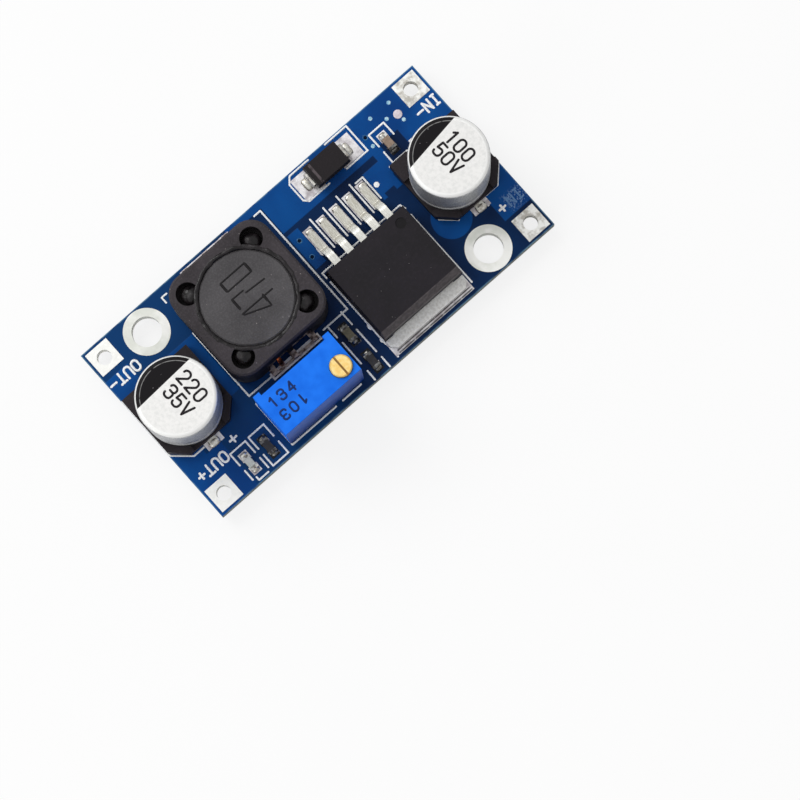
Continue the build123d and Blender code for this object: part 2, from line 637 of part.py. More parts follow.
def chip_caps(place, height, body):
    """Metal caps round both ends of a chip part."""
    outer_length = CHIP_LENGTH + 2 * CHIP_CAP_WALL
    step = (outer_length - CHIP_CAP_LENGTH) / 2
    with BuildPart() as caps:
        with BuildSketch(Plane.XY.offset(LAND_TOP)):
            with Locations((place[0], place[1] - step), (place[0], place[1] + step)):
                Rectangle(CHIP_WIDTH + 2 * CHIP_CAP_WALL, CHIP_CAP_LENGTH)
        extrude(amount=height + 2 * CHIP_CAP_WALL)
        add(body.part, mode=Mode.SUBTRACT)
    return caps


def build_chips():
    """Two chip capacitors, two resistors and a light-emitting diode."""
    for name, place, height in (
        ("input_chip_capacitor", INPUT_CHIP_PLACE, CHIP_CAPACITOR_HEIGHT),
        ("feedback_chip_capacitor", FEEDBACK_CHIP_PLACE, CHIP_CAPACITOR_HEIGHT),
        ("feedback_resistor", FEEDBACK_RESISTOR_PLACE, RESISTOR_HEIGHT),
        ("led_resistor", LED_RESISTOR_PLACE, RESISTOR_HEIGHT),
        ("led_carrier", LED_PLACE, LED_CARRIER_HEIGHT),
    ):
        body = chip_body(place, height)
        keep(name, body)
        keep(f"{name}_caps", chip_caps(place, height, body))
    with BuildPart() as lens:
        with BuildSketch(Plane.XY.offset(LAND_TOP + CHIP_CAP_WALL + LED_CARRIER_HEIGHT)):
            with Locations(LED_PLACE):
                Rectangle(CHIP_WIDTH, LED_LENS_LENGTH)
        extrude(amount=LED_LENS_HEIGHT, taper=LED_LENS_DRAFT)
    keep("led_lens", lens)


def build_trimmer_housing():
    """Box with end ribs, open at the back, with the screw's bore and the axle."""
    screw_place = (SCREW_X, SCREW_Y)
    gland_floor = TRIMMER_TOP - SCREW_HEAD_SUNK - SEAL_GLAND
    with BuildPart() as housing:
        with BuildSketch(Plane.XY.offset(TOP + TRIMMER_STANDOFF)):
            with Locations((TRIMMER_X, (TRIMMER_FRONT + TRIMMER_BACK) / 2)):
                Rectangle(TRIMMER_LENGTH, TRIMMER_BACK - TRIMMER_FRONT)
        extrude(amount=TRIMMER_HEIGHT - TRIMMER_STANDOFF)
        rib_step = (TRIMMER_LENGTH - TRIMMER_RIB_WIDTH) / 2
        with BuildSketch(Plane.XY.offset(TOP)):
            with Locations((TRIMMER_X - rib_step, TRIMMER_Y), (TRIMMER_X + rib_step, TRIMMER_Y)):
                Rectangle(TRIMMER_RIB_WIDTH, TRIMMER_DEPTH)
        extrude(amount=TRIMMER_HEIGHT)
        with BuildSketch(Plane.XZ.offset(-CAVITY_FRONT)):
            with Locations((TRIMMER_X, (CAVITY_FLOOR + CAVITY_ROOF) / 2)):
                Rectangle(CAVITY_LENGTH, CAVITY_HEIGHT)
        extrude(amount=CAVITY_FRONT - TRIMMER_BACK, mode=Mode.SUBTRACT)
        with BuildSketch(Plane.XY.offset(TOP)):
            with Locations(*PIN_POINTS):
                Circle(PIN_DIAMETER / 2 + PIN_CLEARANCE)
        extrude(amount=CAVITY_FLOOR - TOP, mode=Mode.SUBTRACT)
        with BuildSketch(Plane.XY.offset(gland_floor)):
            with Locations(screw_place):
                Circle(SCREW_HEAD / 2 + SCREW_CLEARANCE)
        extrude(amount=SCREW_HEAD_SUNK + SEAL_GLAND, mode=Mode.SUBTRACT)
        with BuildSketch(Plane.XY.offset(CAVITY_ROOF)):
            with Locations(screw_place):
                Circle(SHAFT_DIAMETER / 2 + SCREW_CLEARANCE)
        extrude(amount=TRIMMER_ROOF, mode=Mode.SUBTRACT)
        with BuildSketch(Plane.XY.offset(CAVITY_FLOOR - PIVOT_DEPTH)):
            with Locations(screw_place):
                Circle(PIVOT_DIAMETER / 2 + SCREW_CLEARANCE)
        extrude(amount=PIVOT_DEPTH, mode=Mode.SUBTRACT)
        with BuildSketch(Plane.XZ.offset(-CAVITY_FRONT)):
            with Locations((WHEEL_X, WHEEL_Z)):
                Circle(AXLE_DIAMETER / 2)
        extrude(amount=CAVITY_FRONT - WHEEL_BACK)
    keep("trimmer_housing", housing)


def build_trimmer_screw():
    """Slotted head, smooth shaft, worm and pivot in one turned piece."""
    head_bottom = TRIMMER_TOP - SCREW_HEAD_SUNK
    head_top = TRIMMER_TOP + SCREW_HEAD_PROUD
    worm_length = WORM_TURNS * WORM_PITCH
    worm_bottom = WHEEL_Z - worm_length / 2
    pivot_end = CAVITY_FLOOR - PIVOT_DEPTH + SCREW_CLEARANCE
    head_radius = SCREW_HEAD / 2
    with BuildPart() as screw:
        with BuildSketch(Plane((SCREW_X, SCREW_Y, 0), x_dir=(1, 0, 0), z_dir=(0, -1, 0))):
            with BuildLine():
                Polyline(
                    (0, pivot_end),
                    (PIVOT_DIAMETER / 2, pivot_end),
                    (PIVOT_DIAMETER / 2, CAVITY_FLOOR + SCREW_CLEARANCE),
                    (WORM_ROOT / 2, CAVITY_FLOOR + SCREW_CLEARANCE),
                    (WORM_ROOT / 2, worm_bottom + worm_length + WORM_PITCH),
                    (SHAFT_DIAMETER / 2, worm_bottom + worm_length + WORM_PITCH),
                    (SHAFT_DIAMETER / 2, head_bottom),
                    (head_radius, head_bottom),
                    (head_radius, head_top - SCREW_HEAD_EDGE),
                    (head_radius - SCREW_HEAD_EDGE, head_top),
                    (0, head_top),
                    close=True,
                )
            make_face()
        revolve(axis=Axis((SCREW_X, SCREW_Y, 0), (0, 0, 1)))
        with Locations((SCREW_X, SCREW_Y, head_top - SCREW_SLOT_DEPTH / 2)):
            Box(SCREW_SLOT_WIDTH, SCREW_HEAD, SCREW_SLOT_DEPTH, mode=Mode.SUBTRACT)
        with BuildLine() as thread_path:
            Helix(WORM_PITCH, worm_length, WORM_ROOT / 2, center=(SCREW_X, SCREW_Y, worm_bottom))
        thread_height = (WORM_DIAMETER - WORM_ROOT) / 2
        root_overlap = thread_height / 4
        start = thread_path.line @ 0
        with BuildSketch(Plane(start, x_dir=(1, 0, 0), z_dir=thread_path.line % 0)):
            with BuildLine():
                Polyline(
                    (-root_overlap, -THREAD_FOOT / 2),
                    (thread_height, -THREAD_TIP / 2),
                    (thread_height, THREAD_TIP / 2),
                    (-root_overlap, THREAD_FOOT / 2),
                    close=True,
                )
            make_face()
        sweep(path=thread_path.line, is_frenet=True)
    keep("trimmer_screw", screw)

    with BuildPart() as seal:
        gland_middle = head_bottom - SEAL_GLAND / 2
        inner = SHAFT_DIAMETER / 2 + SEAL_GAP
        outer = SCREW_HEAD / 2 + SCREW_CLEARANCE
        with Locations((SCREW_X, SCREW_Y, gland_middle)):
            Torus((inner + outer) / 2, min((outer - inner) / 2, SEAL_GLAND / 2 - SEAL_GAP))
    keep("trimmer_seal", seal)


def build_trimmer_rotor():
    """Worm wheel with its wiper spring."""
    radius = WHEEL_DIAMETER / 2
    root = radius - TOOTH_DEPTH
    with BuildPart() as rotor:
        with BuildSketch(Plane.XZ.offset(-WHEEL_FRONT)):
            with Locations((WHEEL_X, WHEEL_Z)):
                Circle(root)
                with PolarLocations(0, WHEEL_TEETH, start_angle=180 / WHEEL_TEETH):
                    Polygon(
                        (root - TOOTH_FOOT / 2, -TOOTH_FOOT / 2),
                        (radius, -TOOTH_TIP / 2),
                        (radius, TOOTH_TIP / 2),
                        (root - TOOTH_FOOT / 2, TOOTH_FOOT / 2),
                        align=None,
                    )
                Circle(AXLE_DIAMETER / 2 + AXLE_CLEARANCE, mode=Mode.SUBTRACT)
        extrude(amount=-WHEEL_THICKNESS)
    keep("trimmer_rotor", rotor)

    tip_y = TRACK_FRONT - WIPER_TIP_GAP
    plate_y = WHEEL_BACK + WIPER_THICKNESS / 2
    track_radius = (TRACK_INNER + TRACK_OUTER) / 2
    with BuildPart() as wiper:
        with BuildSketch(Plane.XZ.offset(-WHEEL_BACK)):
            with Locations((WHEEL_X, WHEEL_Z)):
                Rectangle(2 * WIPER_PLATE, WIPER_WIDTH)
        extrude(amount=-WIPER_THICKNESS)
        with BuildLine() as finger:
            Polyline(
                (WHEEL_X, plate_y, WHEEL_Z),
                (WHEEL_X + WIPER_PLATE, plate_y, WHEEL_Z),
                (WHEEL_X + track_radius, tip_y - WIPER_THICKNESS / 2, WHEEL_Z),
            )
        with BuildSketch(Plane(finger.line @ 0, x_dir=(0, 0, 1), z_dir=finger.line % 0)):
            Rectangle(WIPER_WIDTH, WIPER_THICKNESS)
        sweep(path=finger.line, transition=Transition.RIGHT)
    keep("trimmer_wiper", wiper)


def build_trimmer_element():
    """Ceramic plate with its track, the potting behind it, pins and joints."""
    with BuildPart() as element:
        with BuildSketch(Plane.XZ.offset(-ELEMENT_FRONT)):
            with Locations((TRIMMER_X, (CAVITY_FLOOR + CAVITY_ROOF) / 2)):
                Rectangle(CAVITY_LENGTH - 2 * ELEMENT_GAP, CAVITY_HEIGHT - 2 * ELEMENT_GAP)
        extrude(amount=-ELEMENT_THICKNESS)
    keep("trimmer_element", element)

    with BuildPart() as track:
        with BuildSketch(Plane.XZ.offset(-TRACK_FRONT)):
            with Locations((WHEEL_X, WHEEL_Z)):
                Circle(TRACK_OUTER)
                Circle(TRACK_INNER, mode=Mode.SUBTRACT)
            with BuildLine():
                span = radians((360 - TRACK_SWEEP) / 2)
                Polyline(
                    (WHEEL_X, WHEEL_Z),
                    (WHEEL_X - 2 * TRACK_OUTER * sin(span), WHEEL_Z - 2 * TRACK_OUTER * cos(span)),
                    (WHEEL_X + 2 * TRACK_OUTER * sin(span), WHEEL_Z - 2 * TRACK_OUTER * cos(span)),
                    close=True,
                )
            make_face(mode=Mode.SUBTRACT)
            with Locations((WHEEL_X, WHEEL_Z)):
                Circle(COLLECTOR_OUTER)
                Circle(COLLECTOR_INNER, mode=Mode.SUBTRACT)
        extrude(amount=-TRACK_THICKNESS)
    keep("trimmer_track", track)

    with BuildPart() as potting:
        with BuildSketch(Plane.XZ.offset(-ELEMENT_BACK)):
            with Locations((TRIMMER_X, (CAVITY_FLOOR + CAVITY_ROOF) / 2)):
                Rectangle(CAVITY_LENGTH, CAVITY_HEIGHT)
        extrude(amount=ELEMENT_BACK - TRIMMER_BACK + POTTING_SINK)
    keep("trimmer_potting", potting)

    with BuildPart() as pins:
        with BuildSketch(Plane.XY.offset(PIN_TIP_COVER)):
            with Locations(*PIN_POINTS):
                Circle(PIN_DIAMETER / 2)
        extrude(amount=CAVITY_FLOOR + PIN_TOP_ABOVE_FLOOR - PIN_TIP_COVER)
    keep("trimmer_pins", pins)

    with BuildPart() as joints:
        radius = JOINT_DIAMETER / 2
        for x, y in PIN_POINTS:
            with BuildSketch(Plane((x, y, 0), x_dir=(1, 0, 0), z_dir=(0, -1, 0))):
                with BuildLine():
                    Polyline(
                        (JOINT_TIP / 2, 0),
                        (0, 0),
                        (0, PIN_TIP_COVER),
                        (PIN_DIAMETER / 2, PIN_TIP_COVER),
                        (PIN_DIAMETER / 2, LAND_BOTTOM),
                        (radius, LAND_BOTTOM),
                    )
                    SagittaArc((radius, LAND_BOTTOM), (JOINT_TIP / 2, 0), JOINT_BULGE)
                make_face()
            revolve(axis=Axis((x, y, 0), (0, 0, 1)))
    keep("trimmer_joints", joints)


os.makedirs("parts", exist_ok=True)
build_board()
build_surface_lands()
build_capacitor("input", INPUT_CAPACITOR_X)
build_capacitor("output", OUTPUT_CAPACITOR_X)
build_inductor()
build_regulator()
build_diode()
build_chips()
build_trimmer_housing()
build_trimmer_screw()
build_trimmer_rotor()
build_trimmer_element()
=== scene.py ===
import json
import math

import bpy
from bpy.props import FloatProperty, FloatVectorProperty, PointerProperty
from mathutils import Matrix, Vector

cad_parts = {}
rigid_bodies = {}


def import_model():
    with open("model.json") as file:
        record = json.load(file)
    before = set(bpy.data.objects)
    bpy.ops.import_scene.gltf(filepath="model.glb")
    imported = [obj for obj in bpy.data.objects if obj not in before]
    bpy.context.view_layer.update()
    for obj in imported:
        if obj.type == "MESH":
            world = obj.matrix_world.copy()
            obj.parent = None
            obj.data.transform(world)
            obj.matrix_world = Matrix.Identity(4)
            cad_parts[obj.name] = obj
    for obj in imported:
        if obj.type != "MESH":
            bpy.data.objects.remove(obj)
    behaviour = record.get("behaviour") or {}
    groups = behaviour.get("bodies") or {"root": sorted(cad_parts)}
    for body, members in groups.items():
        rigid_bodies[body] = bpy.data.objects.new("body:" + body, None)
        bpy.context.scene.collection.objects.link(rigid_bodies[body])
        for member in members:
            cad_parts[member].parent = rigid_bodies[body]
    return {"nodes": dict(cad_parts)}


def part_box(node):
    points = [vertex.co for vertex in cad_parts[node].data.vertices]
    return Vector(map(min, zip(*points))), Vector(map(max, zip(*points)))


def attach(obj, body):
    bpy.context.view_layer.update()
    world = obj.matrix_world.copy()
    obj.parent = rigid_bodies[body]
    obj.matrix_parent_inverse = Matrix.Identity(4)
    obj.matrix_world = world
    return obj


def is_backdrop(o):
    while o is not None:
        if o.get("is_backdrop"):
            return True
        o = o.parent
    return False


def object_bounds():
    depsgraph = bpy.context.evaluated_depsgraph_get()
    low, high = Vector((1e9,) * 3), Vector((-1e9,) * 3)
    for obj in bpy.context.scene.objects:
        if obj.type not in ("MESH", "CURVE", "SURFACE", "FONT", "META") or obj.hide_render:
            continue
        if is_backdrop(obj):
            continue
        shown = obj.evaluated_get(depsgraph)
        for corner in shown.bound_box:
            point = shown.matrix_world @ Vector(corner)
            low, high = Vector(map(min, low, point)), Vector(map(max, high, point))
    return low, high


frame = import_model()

bl_info = {
    "name": "Step-down module dresser",
    "version": (1, 0, 0),
    "blender": (4, 5, 0),
    "location": "3D View > Sidebar > Module",
    "description": "Finishes, printed legend, vias and solder for a step-down converter board",
    "category": "Object",
}

CAD_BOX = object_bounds()
BODY = "module"
MM = 0.001

# The board's two faces and edges, in millimetres, as the frame gives them.
BOARD_LOW, BOARD_HIGH = (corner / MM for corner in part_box("circuit_board"))
TOP = BOARD_HIGH.z
UNDERSIDE = BOARD_LOW.z


def middle(node):
    """The centre of a node's box, in millimetres."""
    low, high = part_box(node)
    return (low + high) / (2 * MM)


def top_of(node):
    """The highest point of a node, in millimetres."""
    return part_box(node)[1].z / MM


def shade(red, green, blue):
    """A colour given as seen on a screen, 0 to 255, as the linear colour that shaders take."""
    linear = [(value / 255 + 0.055) / 1.055 for value in (red, green, blue)]
    return tuple(value ** 2.4 for value in linear) + (1.0,)


class Wire:
    """A node's output. Arithmetic on it adds Math nodes."""

    def __init__(self, net, socket):
        self.net = net
        self.socket = socket

    def math(self, operation, *values):
        return self.net.node("ShaderNodeMath", {"operation": operation}, dict(enumerate(values)))

    def __add__(self, other):
        return self.math("ADD", self, other)

    def __sub__(self, other):
        return self.math("SUBTRACT", self, other)

    def __rsub__(self, other):
        return self.math("SUBTRACT", other, self)

    def __mul__(self, other):
        return self.math("MULTIPLY", self, other)

    def __truediv__(self, other):
        return self.math("DIVIDE", self, other)

    def __pow__(self, other):
        return self.math("POWER", self, other)

    def __abs__(self):
        return self.math("ABSOLUTE", self)

    def least(self, other):
        return self.math("MINIMUM", self, other)

    def most(self, other):
        return self.math("MAXIMUM", self, other)

    def sine(self):
        return self.math("SINE", self)

    def sign(self):
        return self.math("SIGN", self)

    def fade(self, low, high):
        """0 below low, 1 above high and smooth between them."""
        limits = {"Value": self, "From Min": low, "From Max": high}
        return self.net.node("ShaderNodeMapRange", {"interpolation_type": "SMOOTHSTEP"}, limits)

    def out(self, name):
        """Another output of the same node."""
        return Wire(self.net, self.socket.node.outputs[name])


class Net:
    """A node tree in which one method adds every node."""

    def __init__(self, tree):
        self.tree = tree

    def node(self, kind, settings=None, sockets=None, out=0):
        made = self.tree.nodes.new(kind)
        for name, value in (settings or {}).items():
            setattr(made, name, value)
        for key, value in (sockets or {}).items():
            self.feed(made.inputs[key], value)
        return Wire(self, made.outputs[out]) if made.outputs else made

    def feed(self, socket, value):
        if isinstance(value, Wire):
            self.tree.links.new(value.socket, socket)
        else:
            socket.default_value = value

    def axes(self, vector):
        """The three numbers of a vector."""
        split = self.node("ShaderNodeSeparateXYZ", None, {0: vector})
        return split, split.out("Y"), split.out("Z")


class Finish(Net):
    """A material: one Principled shader whose constants are set on its own sockets."""

    def __init__(self, name, **constants):
        self.material = bpy.data.materials.new(name)
        self.material.use_nodes = True
        super().__init__(self.material.node_tree)
        self.shader = self.tree.nodes["Principled BSDF"]
        self.set(**constants)
        self.place = self.node("ShaderNodeTexCoord", out="Object")

    def set(self, **values):
        """Sets or links the shader's sockets: base_color stands for Base Color, and so on."""
        for name, value in values.items():
            label = {"ior": "IOR", "specular": "Specular IOR Level"}.get(name, name.replace("_", " ").title())
            self.feed(self.shader.inputs[label], value)

    def paint(self, colours):
        """Sets the base colour, and keeps it so that more can be laid over it."""
        self.colours = colours
        self.set(base_color=colours)

    def millimetres(self):
        """The place on the object, as three numbers in millimetres."""
        return [axis / MM for axis in self.axes(self.place)]

    def stretched(self, stretch):
        """The place stretched along the axes, for a pattern with a direction."""
        return self.node("ShaderNodeMapping", None, {"Vector": self.place, "Scale": stretch})

    def cloud(self, size, detail=3.0, place=None):
        """Soft noise whose blobs are size millimetres across, about 0.3 to 0.7."""
        values = {"Vector": place or self.place, "Scale": 1 / (size * MM), "Detail": detail}
        return self.node("ShaderNodeTexNoise", None, values)

    def specks(self, size, share):
        """1 on scattered dots size millimetres apart, 0 between them."""
        cells = self.node("ShaderNodeTexVoronoi", None, {"Vector": self.place, "Scale": 1 / (size * MM)})
        return 1 - cells.fade(share * 0.6, share)

    def mix(self, factor, first, second):
        """The first colour where factor is 0 and the second where it is 1."""
        colours = {0: factor, 6: first, 7: second}
        return self.node("ShaderNodeMix", {"data_type": "RGBA"}, colours, out=2)

    def bump(self, height, depth, strength=1.0):
        """Relief depth millimetres high where height is 1."""
        values = {"Height": height, "Distance": depth * MM, "Strength": strength}
        self.set(normal=self.node("ShaderNodeBump", None, values))


class Recipe(Net):
    """A Geometry Nodes tree with named sizes, which turns a seed mesh into one plain mesh."""

    def __init__(self, name, *sizes):
        self.group = bpy.data.node_groups.new(name, "GeometryNodeTree")
        super().__init__(self.group)
        face = self.group.interface
        face.new_socket("Geometry", in_out="INPUT", socket_type="NodeSocketGeometry")
        face.new_socket("Geometry", in_out="OUTPUT", socket_type="NodeSocketGeometry")
        sockets = [face.new_socket(size, in_out="INPUT", socket_type="NodeSocketFloat") for size in sizes]
        self.ids = {socket.name: socket.identifier for socket in sockets}
        self.seed = self.node("NodeGroupInput")

    def size(self, name):
        return self.seed.out(name)

    def attribute(self, name, kind="FLOAT"):
        """A value that each seed point carries."""
        return self.node("GeometryNodeInputNamedAttribute", {"data_type": kind}, {"Name": name})

    def circle(self, steps, radius):
        sizes = {"Resolution": steps, "Radius": radius}
        return self.node("GeometryNodeCurvePrimitiveCircle", None, sizes)

    def join(self, *pieces):
        joined = self.tree.nodes.new("GeometryNodeJoinGeometry")
        for piece in pieces:
            self.tree.links.new(piece.socket, joined.inputs[0])
        return Wire(self, joined.outputs[0])

    def close(self, geometry, material):
        """Ends the tree."""
        solid = self.node("GeometryNodeRealizeInstances", None, {"Geometry": geometry})
        dressed = self.node("GeometryNodeSetMaterial", None, {"Geometry": solid, "Material": material})
        self.node("NodeGroupOutput", None, {"Geometry": dressed})

    def grow(self, mesh, slot, sizes):
        """Bakes the tree on a seed mesh and returns the finished piece."""
        piece = bpy.data.objects.new(mesh.name, mesh)
        bpy.context.scene.collection.objects.link(piece)
        modifier = piece.modifiers.new("grow", "NODES")
        modifier.node_group = self.group
        for name, value in sizes.items():
            modifier[self.ids[name]] = value
        scene = bpy.context.evaluated_depsgraph_get()
        grown = bpy.data.meshes.new_from_object(piece.evaluated_get(scene), depsgraph=scene)
        piece.modifiers.remove(modifier)
        piece.data = grown
        grown.name = mesh.name
        bpy.data.meshes.remove(mesh)
        piece.name = grown.name
        ride(piece)
        return piece


def ride(piece):
    """Fixes a finished piece to the board's body."""
    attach(piece, BODY)


def dress(node, finish):
    """Gives a node of the frame its material."""
    thing = frame["nodes"][node]
    thing.data.materials.clear()
    thing.data.materials.append(finish.material)


# Plane lettering. A glyph is a list of strokes in a box one wide and one high, and a third number
# at a point rounds that corner, in widths.

GLYPHS = {
    "0": [[(0, 0, 0.5), (1, 0, 0.5), (1, 1, 0.5), (0, 1, 0.5), (0, 0, 0.5)]],
    "1": [[(0.2, 0.78), (0.6, 1), (0.6, 0)]],
    "2": [[(0, 0.74), (0, 1, 0.45), (1, 1, 0.45), (1, 0.6, 0.4), (0, 0), (1, 0)]],
    "3": [[(0, 0.8), (0, 1, 0.4), (1, 1, 0.4), (1, 0.54, 0.3), (0.3, 0.54)],
          [(0.4, 0.54), (1, 0.54, 0.3), (1, 0, 0.4), (0, 0, 0.4), (0, 0.22)]],
    "4": [[(0.75, 0), (0.75, 1), (0, 0.3), (1, 0.3)]],
    "5": [[(0.95, 1), (0.12, 1), (0.06, 0.52), (1, 0.64, 0.35), (1, 0, 0.45), (0, 0, 0.4), (0, 0.2)]],
    "O": [[(0, 0, 0.48), (1, 0, 0.48), (1, 1, 0.48), (0, 1, 0.48), (0, 0, 0.48)]],
    "U": [[(0, 1), (0, 0, 0.48), (1, 0, 0.48), (1, 1)]],
    "T": [[(0, 1), (1, 1)], [(0.5, 1), (0.5, 0)]],
    "I": [[(0.5, 0), (0.5, 1)], [(0.25, 0), (0.75, 0)], [(0.25, 1), (0.75, 1)]],
    "N": [[(0.02, 0), (0.02, 1), (0.98, 0), (0.98, 1)]],
    "V": [[(0, 1), (0.5, 0), (1, 1)]],
    "+": [[(0, 0.5), (1, 0.5)], [(0.5, 0.2), (0.5, 0.8)]],
    "-": [[(0, 0.5), (1, 0.5)]],
}


def letters(text, start, along, up, height, width, pitch):
    """Strokes of a line of text whose first glyph has its lower left corner at start."""
    along, up = Vector(along), Vector(up)
    strokes = []
    for place, glyph in enumerate(text):
        for stroke in GLYPHS[glyph]:
            points = []
            for x, y, *bend in stroke:
                spot = Vector(start) + along * (place * pitch + x * width) + up * (y * height)
                points.append((spot.x, spot.y, (bend or [0])[0] * width))
            strokes.append(points)
    return strokes


def runs(strokes):
    """The strokes, cut at their sharp corners so that every band keeps its width."""
    for stroke in strokes:
        run = stroke[:1]
        for point in stroke[1:]:
            run.append(point)
            if not any(point[2:]):
                yield run
                run = [point]
        if len(run) > 1:
            yield run


def stroke_mesh(name, strokes, height):
    """Loose edges along the strokes. Each run lies a hair above the last, so none share a plane."""
    hair = 0.0004
    cycle = 24
    points, bends, edges = [], [], []
    for number, stroke in enumerate(runs(strokes)):
        closed = len(stroke) > 2 and stroke[0][:2] == stroke[-1][:2]
        spots = stroke[:-1] if closed else stroke
        first = len(points)
        level = height + hair * (number % cycle)
        for x, y, *bend in spots:
            points.append(Vector((x, y, level)) * MM)
            bends.append((bend or [0])[0] * MM)
        run = list(range(first, len(points)))
        edges += list(zip(run, run[1:] + run[:1] if closed else run[1:]))
    mesh = bpy.data.meshes.new(name)
    mesh.from_pydata(points, edges, [])
    mesh.attributes.new("bend", "FLOAT", "POINT").data.foreach_set("value", bends)
    return mesh


def line_recipe(finish):
    """Printed lines: flat bands along edges, with rounded corners and round ends."""
    net = Recipe("printed_line", "Width", "Thickness")
    width, thickness = net.size("Width"), net.size("Thickness")
    curve = net.node("GeometryNodeMeshToCurve", None, {"Mesh": net.seed})
    corners = {"Curve": curve, "Radius": net.attribute("bend"), "Limit Radius": True, "Count": 7}
    rounded = net.node("GeometryNodeFilletCurve", {"mode": "POLY"}, corners)
    level = net.node("GeometryNodeSetCurveNormal", {"mode": "Z_UP"}, {"Curve": rounded})
    section = net.node("GeometryNodeCurvePrimitiveQuadrilateral", None, {"Width": width, "Height": thickness})
    band = {"Curve": level, "Profile Curve": section, "Fill Caps": True}
    ends = net.node("GeometryNodeCurveEndpointSelection")
    lift = 1.01
    coin = {"Vertices": 14, "Radius": width / 2, "Depth": thickness * lift}
    caps = {
        "Points": level,
        "Selection": ends,
        "Instance": net.node("GeometryNodeMeshCylinder", None, coin),
    }
    net.close(net.join(net.node("GeometryNodeCurveToMesh", None, band),
                       net.node("GeometryNodeInstanceOnPoints", None, caps)), finish.material)
    return net


def point_mesh(name, spots, **values):
    """Loose points in millimetres, each with a vector value or more."""
    mesh = bpy.data.meshes.new(name)
    mesh.from_pydata([Vector(spot) * MM for spot in spots], [], [])
    for label, vectors in values.items():
        flat = [part * MM for vector in vectors for part in vector]
        mesh.attributes.new(label, "FLOAT_VECTOR", "POINT").data.foreach_set("vector", flat)
    return mesh


def bead_recipe(finish):
    """Solder: rounded low mounds, squarer in plan than a ball, each with its own half sizes."""
    net = Recipe("solder_bead", "Squareness")
    ball = net.node("GeometryNodeMeshUVSphere", None, {"Segments": 24, "Rings": 12, "Radius": 1.0})
    x, y, z = net.axes(net.node("GeometryNodeInputPosition"))
    power = net.size("Squareness")
    plan = {0: x.sign() * abs(x) ** power, 1: y.sign() * abs(y) ** power, 2: z}
    squared = net.node("ShaderNodeCombineXYZ", None, plan)
    bead = net.node("GeometryNodeSetPosition", None, {"Geometry": ball, "Position": squared})
    smooth = net.node("GeometryNodeSetShadeSmooth", None, {0: bead, "Shade Smooth": True})
    spots = {"Points": net.seed, "Instance": smooth, "Scale": net.attribute("half", "FLOAT_VECTOR")}
    net.close(net.node("GeometryNodeInstanceOnPoints", None, spots), finish.material)
    return net


def ring_recipe(finish):
    """Vias: a low round ring on each point."""
    net = Recipe("via_ring", "Radius", "Band", "Height")
    sweep = {"Curve": net.circle(20, net.size("Radius")), "Profile Curve": net.circle(8, net.size("Band"))}
    ring = net.node("GeometryNodeCurveToMesh", None, sweep)
    flatness = net.size("Height") / net.size("Band")
    squash = net.node("ShaderNodeCombineXYZ", None, {0: 1.0, 1: 1.0, 2: flatness})
    spots = {"Points": net.seed, "Instance": ring, "Scale": squash}
    net.close(net.node("GeometryNodeInstanceOnPoints", None, spots), finish.material)
    return net


def glue_recipe(finish):
    """Resin round a drum: a lumpy ring, and a blob on each seed point."""
    net = Recipe("glue_ring", "Radius", "Band", "Lump")
    sweep = {"Curve": net.circle(160, net.size("Radius")), "Profile Curve": net.circle(12, net.size("Band"))}
    ring = net.node("GeometryNodeCurveToMesh", None, sweep)
    low = net.node("GeometryNodeTransform", None, {"Geometry": ring, "Scale": (1, 1, 0.6)})
    ball = net.node("GeometryNodeMeshIcoSphere", None, {"Radius": 1.0, "Subdivisions": 4})
    spots = {"Points": net.seed, "Instance": ball, "Scale": net.attribute("half", "FLOAT_VECTOR")}
    blobs = net.node("GeometryNodeInstanceOnPoints", None, spots)
    whole = net.node("GeometryNodeRealizeInstances", None, {"Geometry": net.join(low, blobs)})
    grain = net.node("ShaderNodeTexNoise", None, {"Scale": 1 / (0.9 * MM), "Detail": 2.0}, out="Color")
    centred = net.node("ShaderNodeVectorMath", {"operation": "SUBTRACT"}, {0: grain, 1: (0.5, 0.5, 0.5)})
    push = net.node("ShaderNodeVectorMath", {"operation": "SCALE"}, {0: centred, "Scale": net.size("Lump")})
    lumpy = net.node("GeometryNodeSetPosition", None, {"Geometry": whole, "Offset": push})
    net.close(net.node("GeometryNodeSetShadeSmooth", None, {0: lumpy, "Shade Smooth": True}), finish.material)
    return net


# Finishes. Lengths are in millimetres.


def island(x, y, box):
    """How far inside a rectangle of low x, high x, low y and high y a place lies."""
    low_x, high_x, low_y, high_y = box
    inside_x = (high_x - low_x) / 2 - abs(x - (low_x + high_x) / 2)
    inside_y = (high_y - low_y) / 2 - abs(y - (low_y + high_y) / 2)
    return inside_x.least(inside_y)


def islands(x, y, boxes):
    """How far inside the union of the rectangles a place lies."""
    inside = island(x, y, boxes[0])
    for box in boxes[1:]:
        inside = inside.most(island(x, y, box))
    return inside


def disc(x, y, spot):
    """How far inside a disc of centre x, centre y and radius a place lies."""
    centre_x, centre_y, radius = spot
    across, along = x - centre_x, y - centre_y
    return radius - (across * across + along * along) ** 0.5


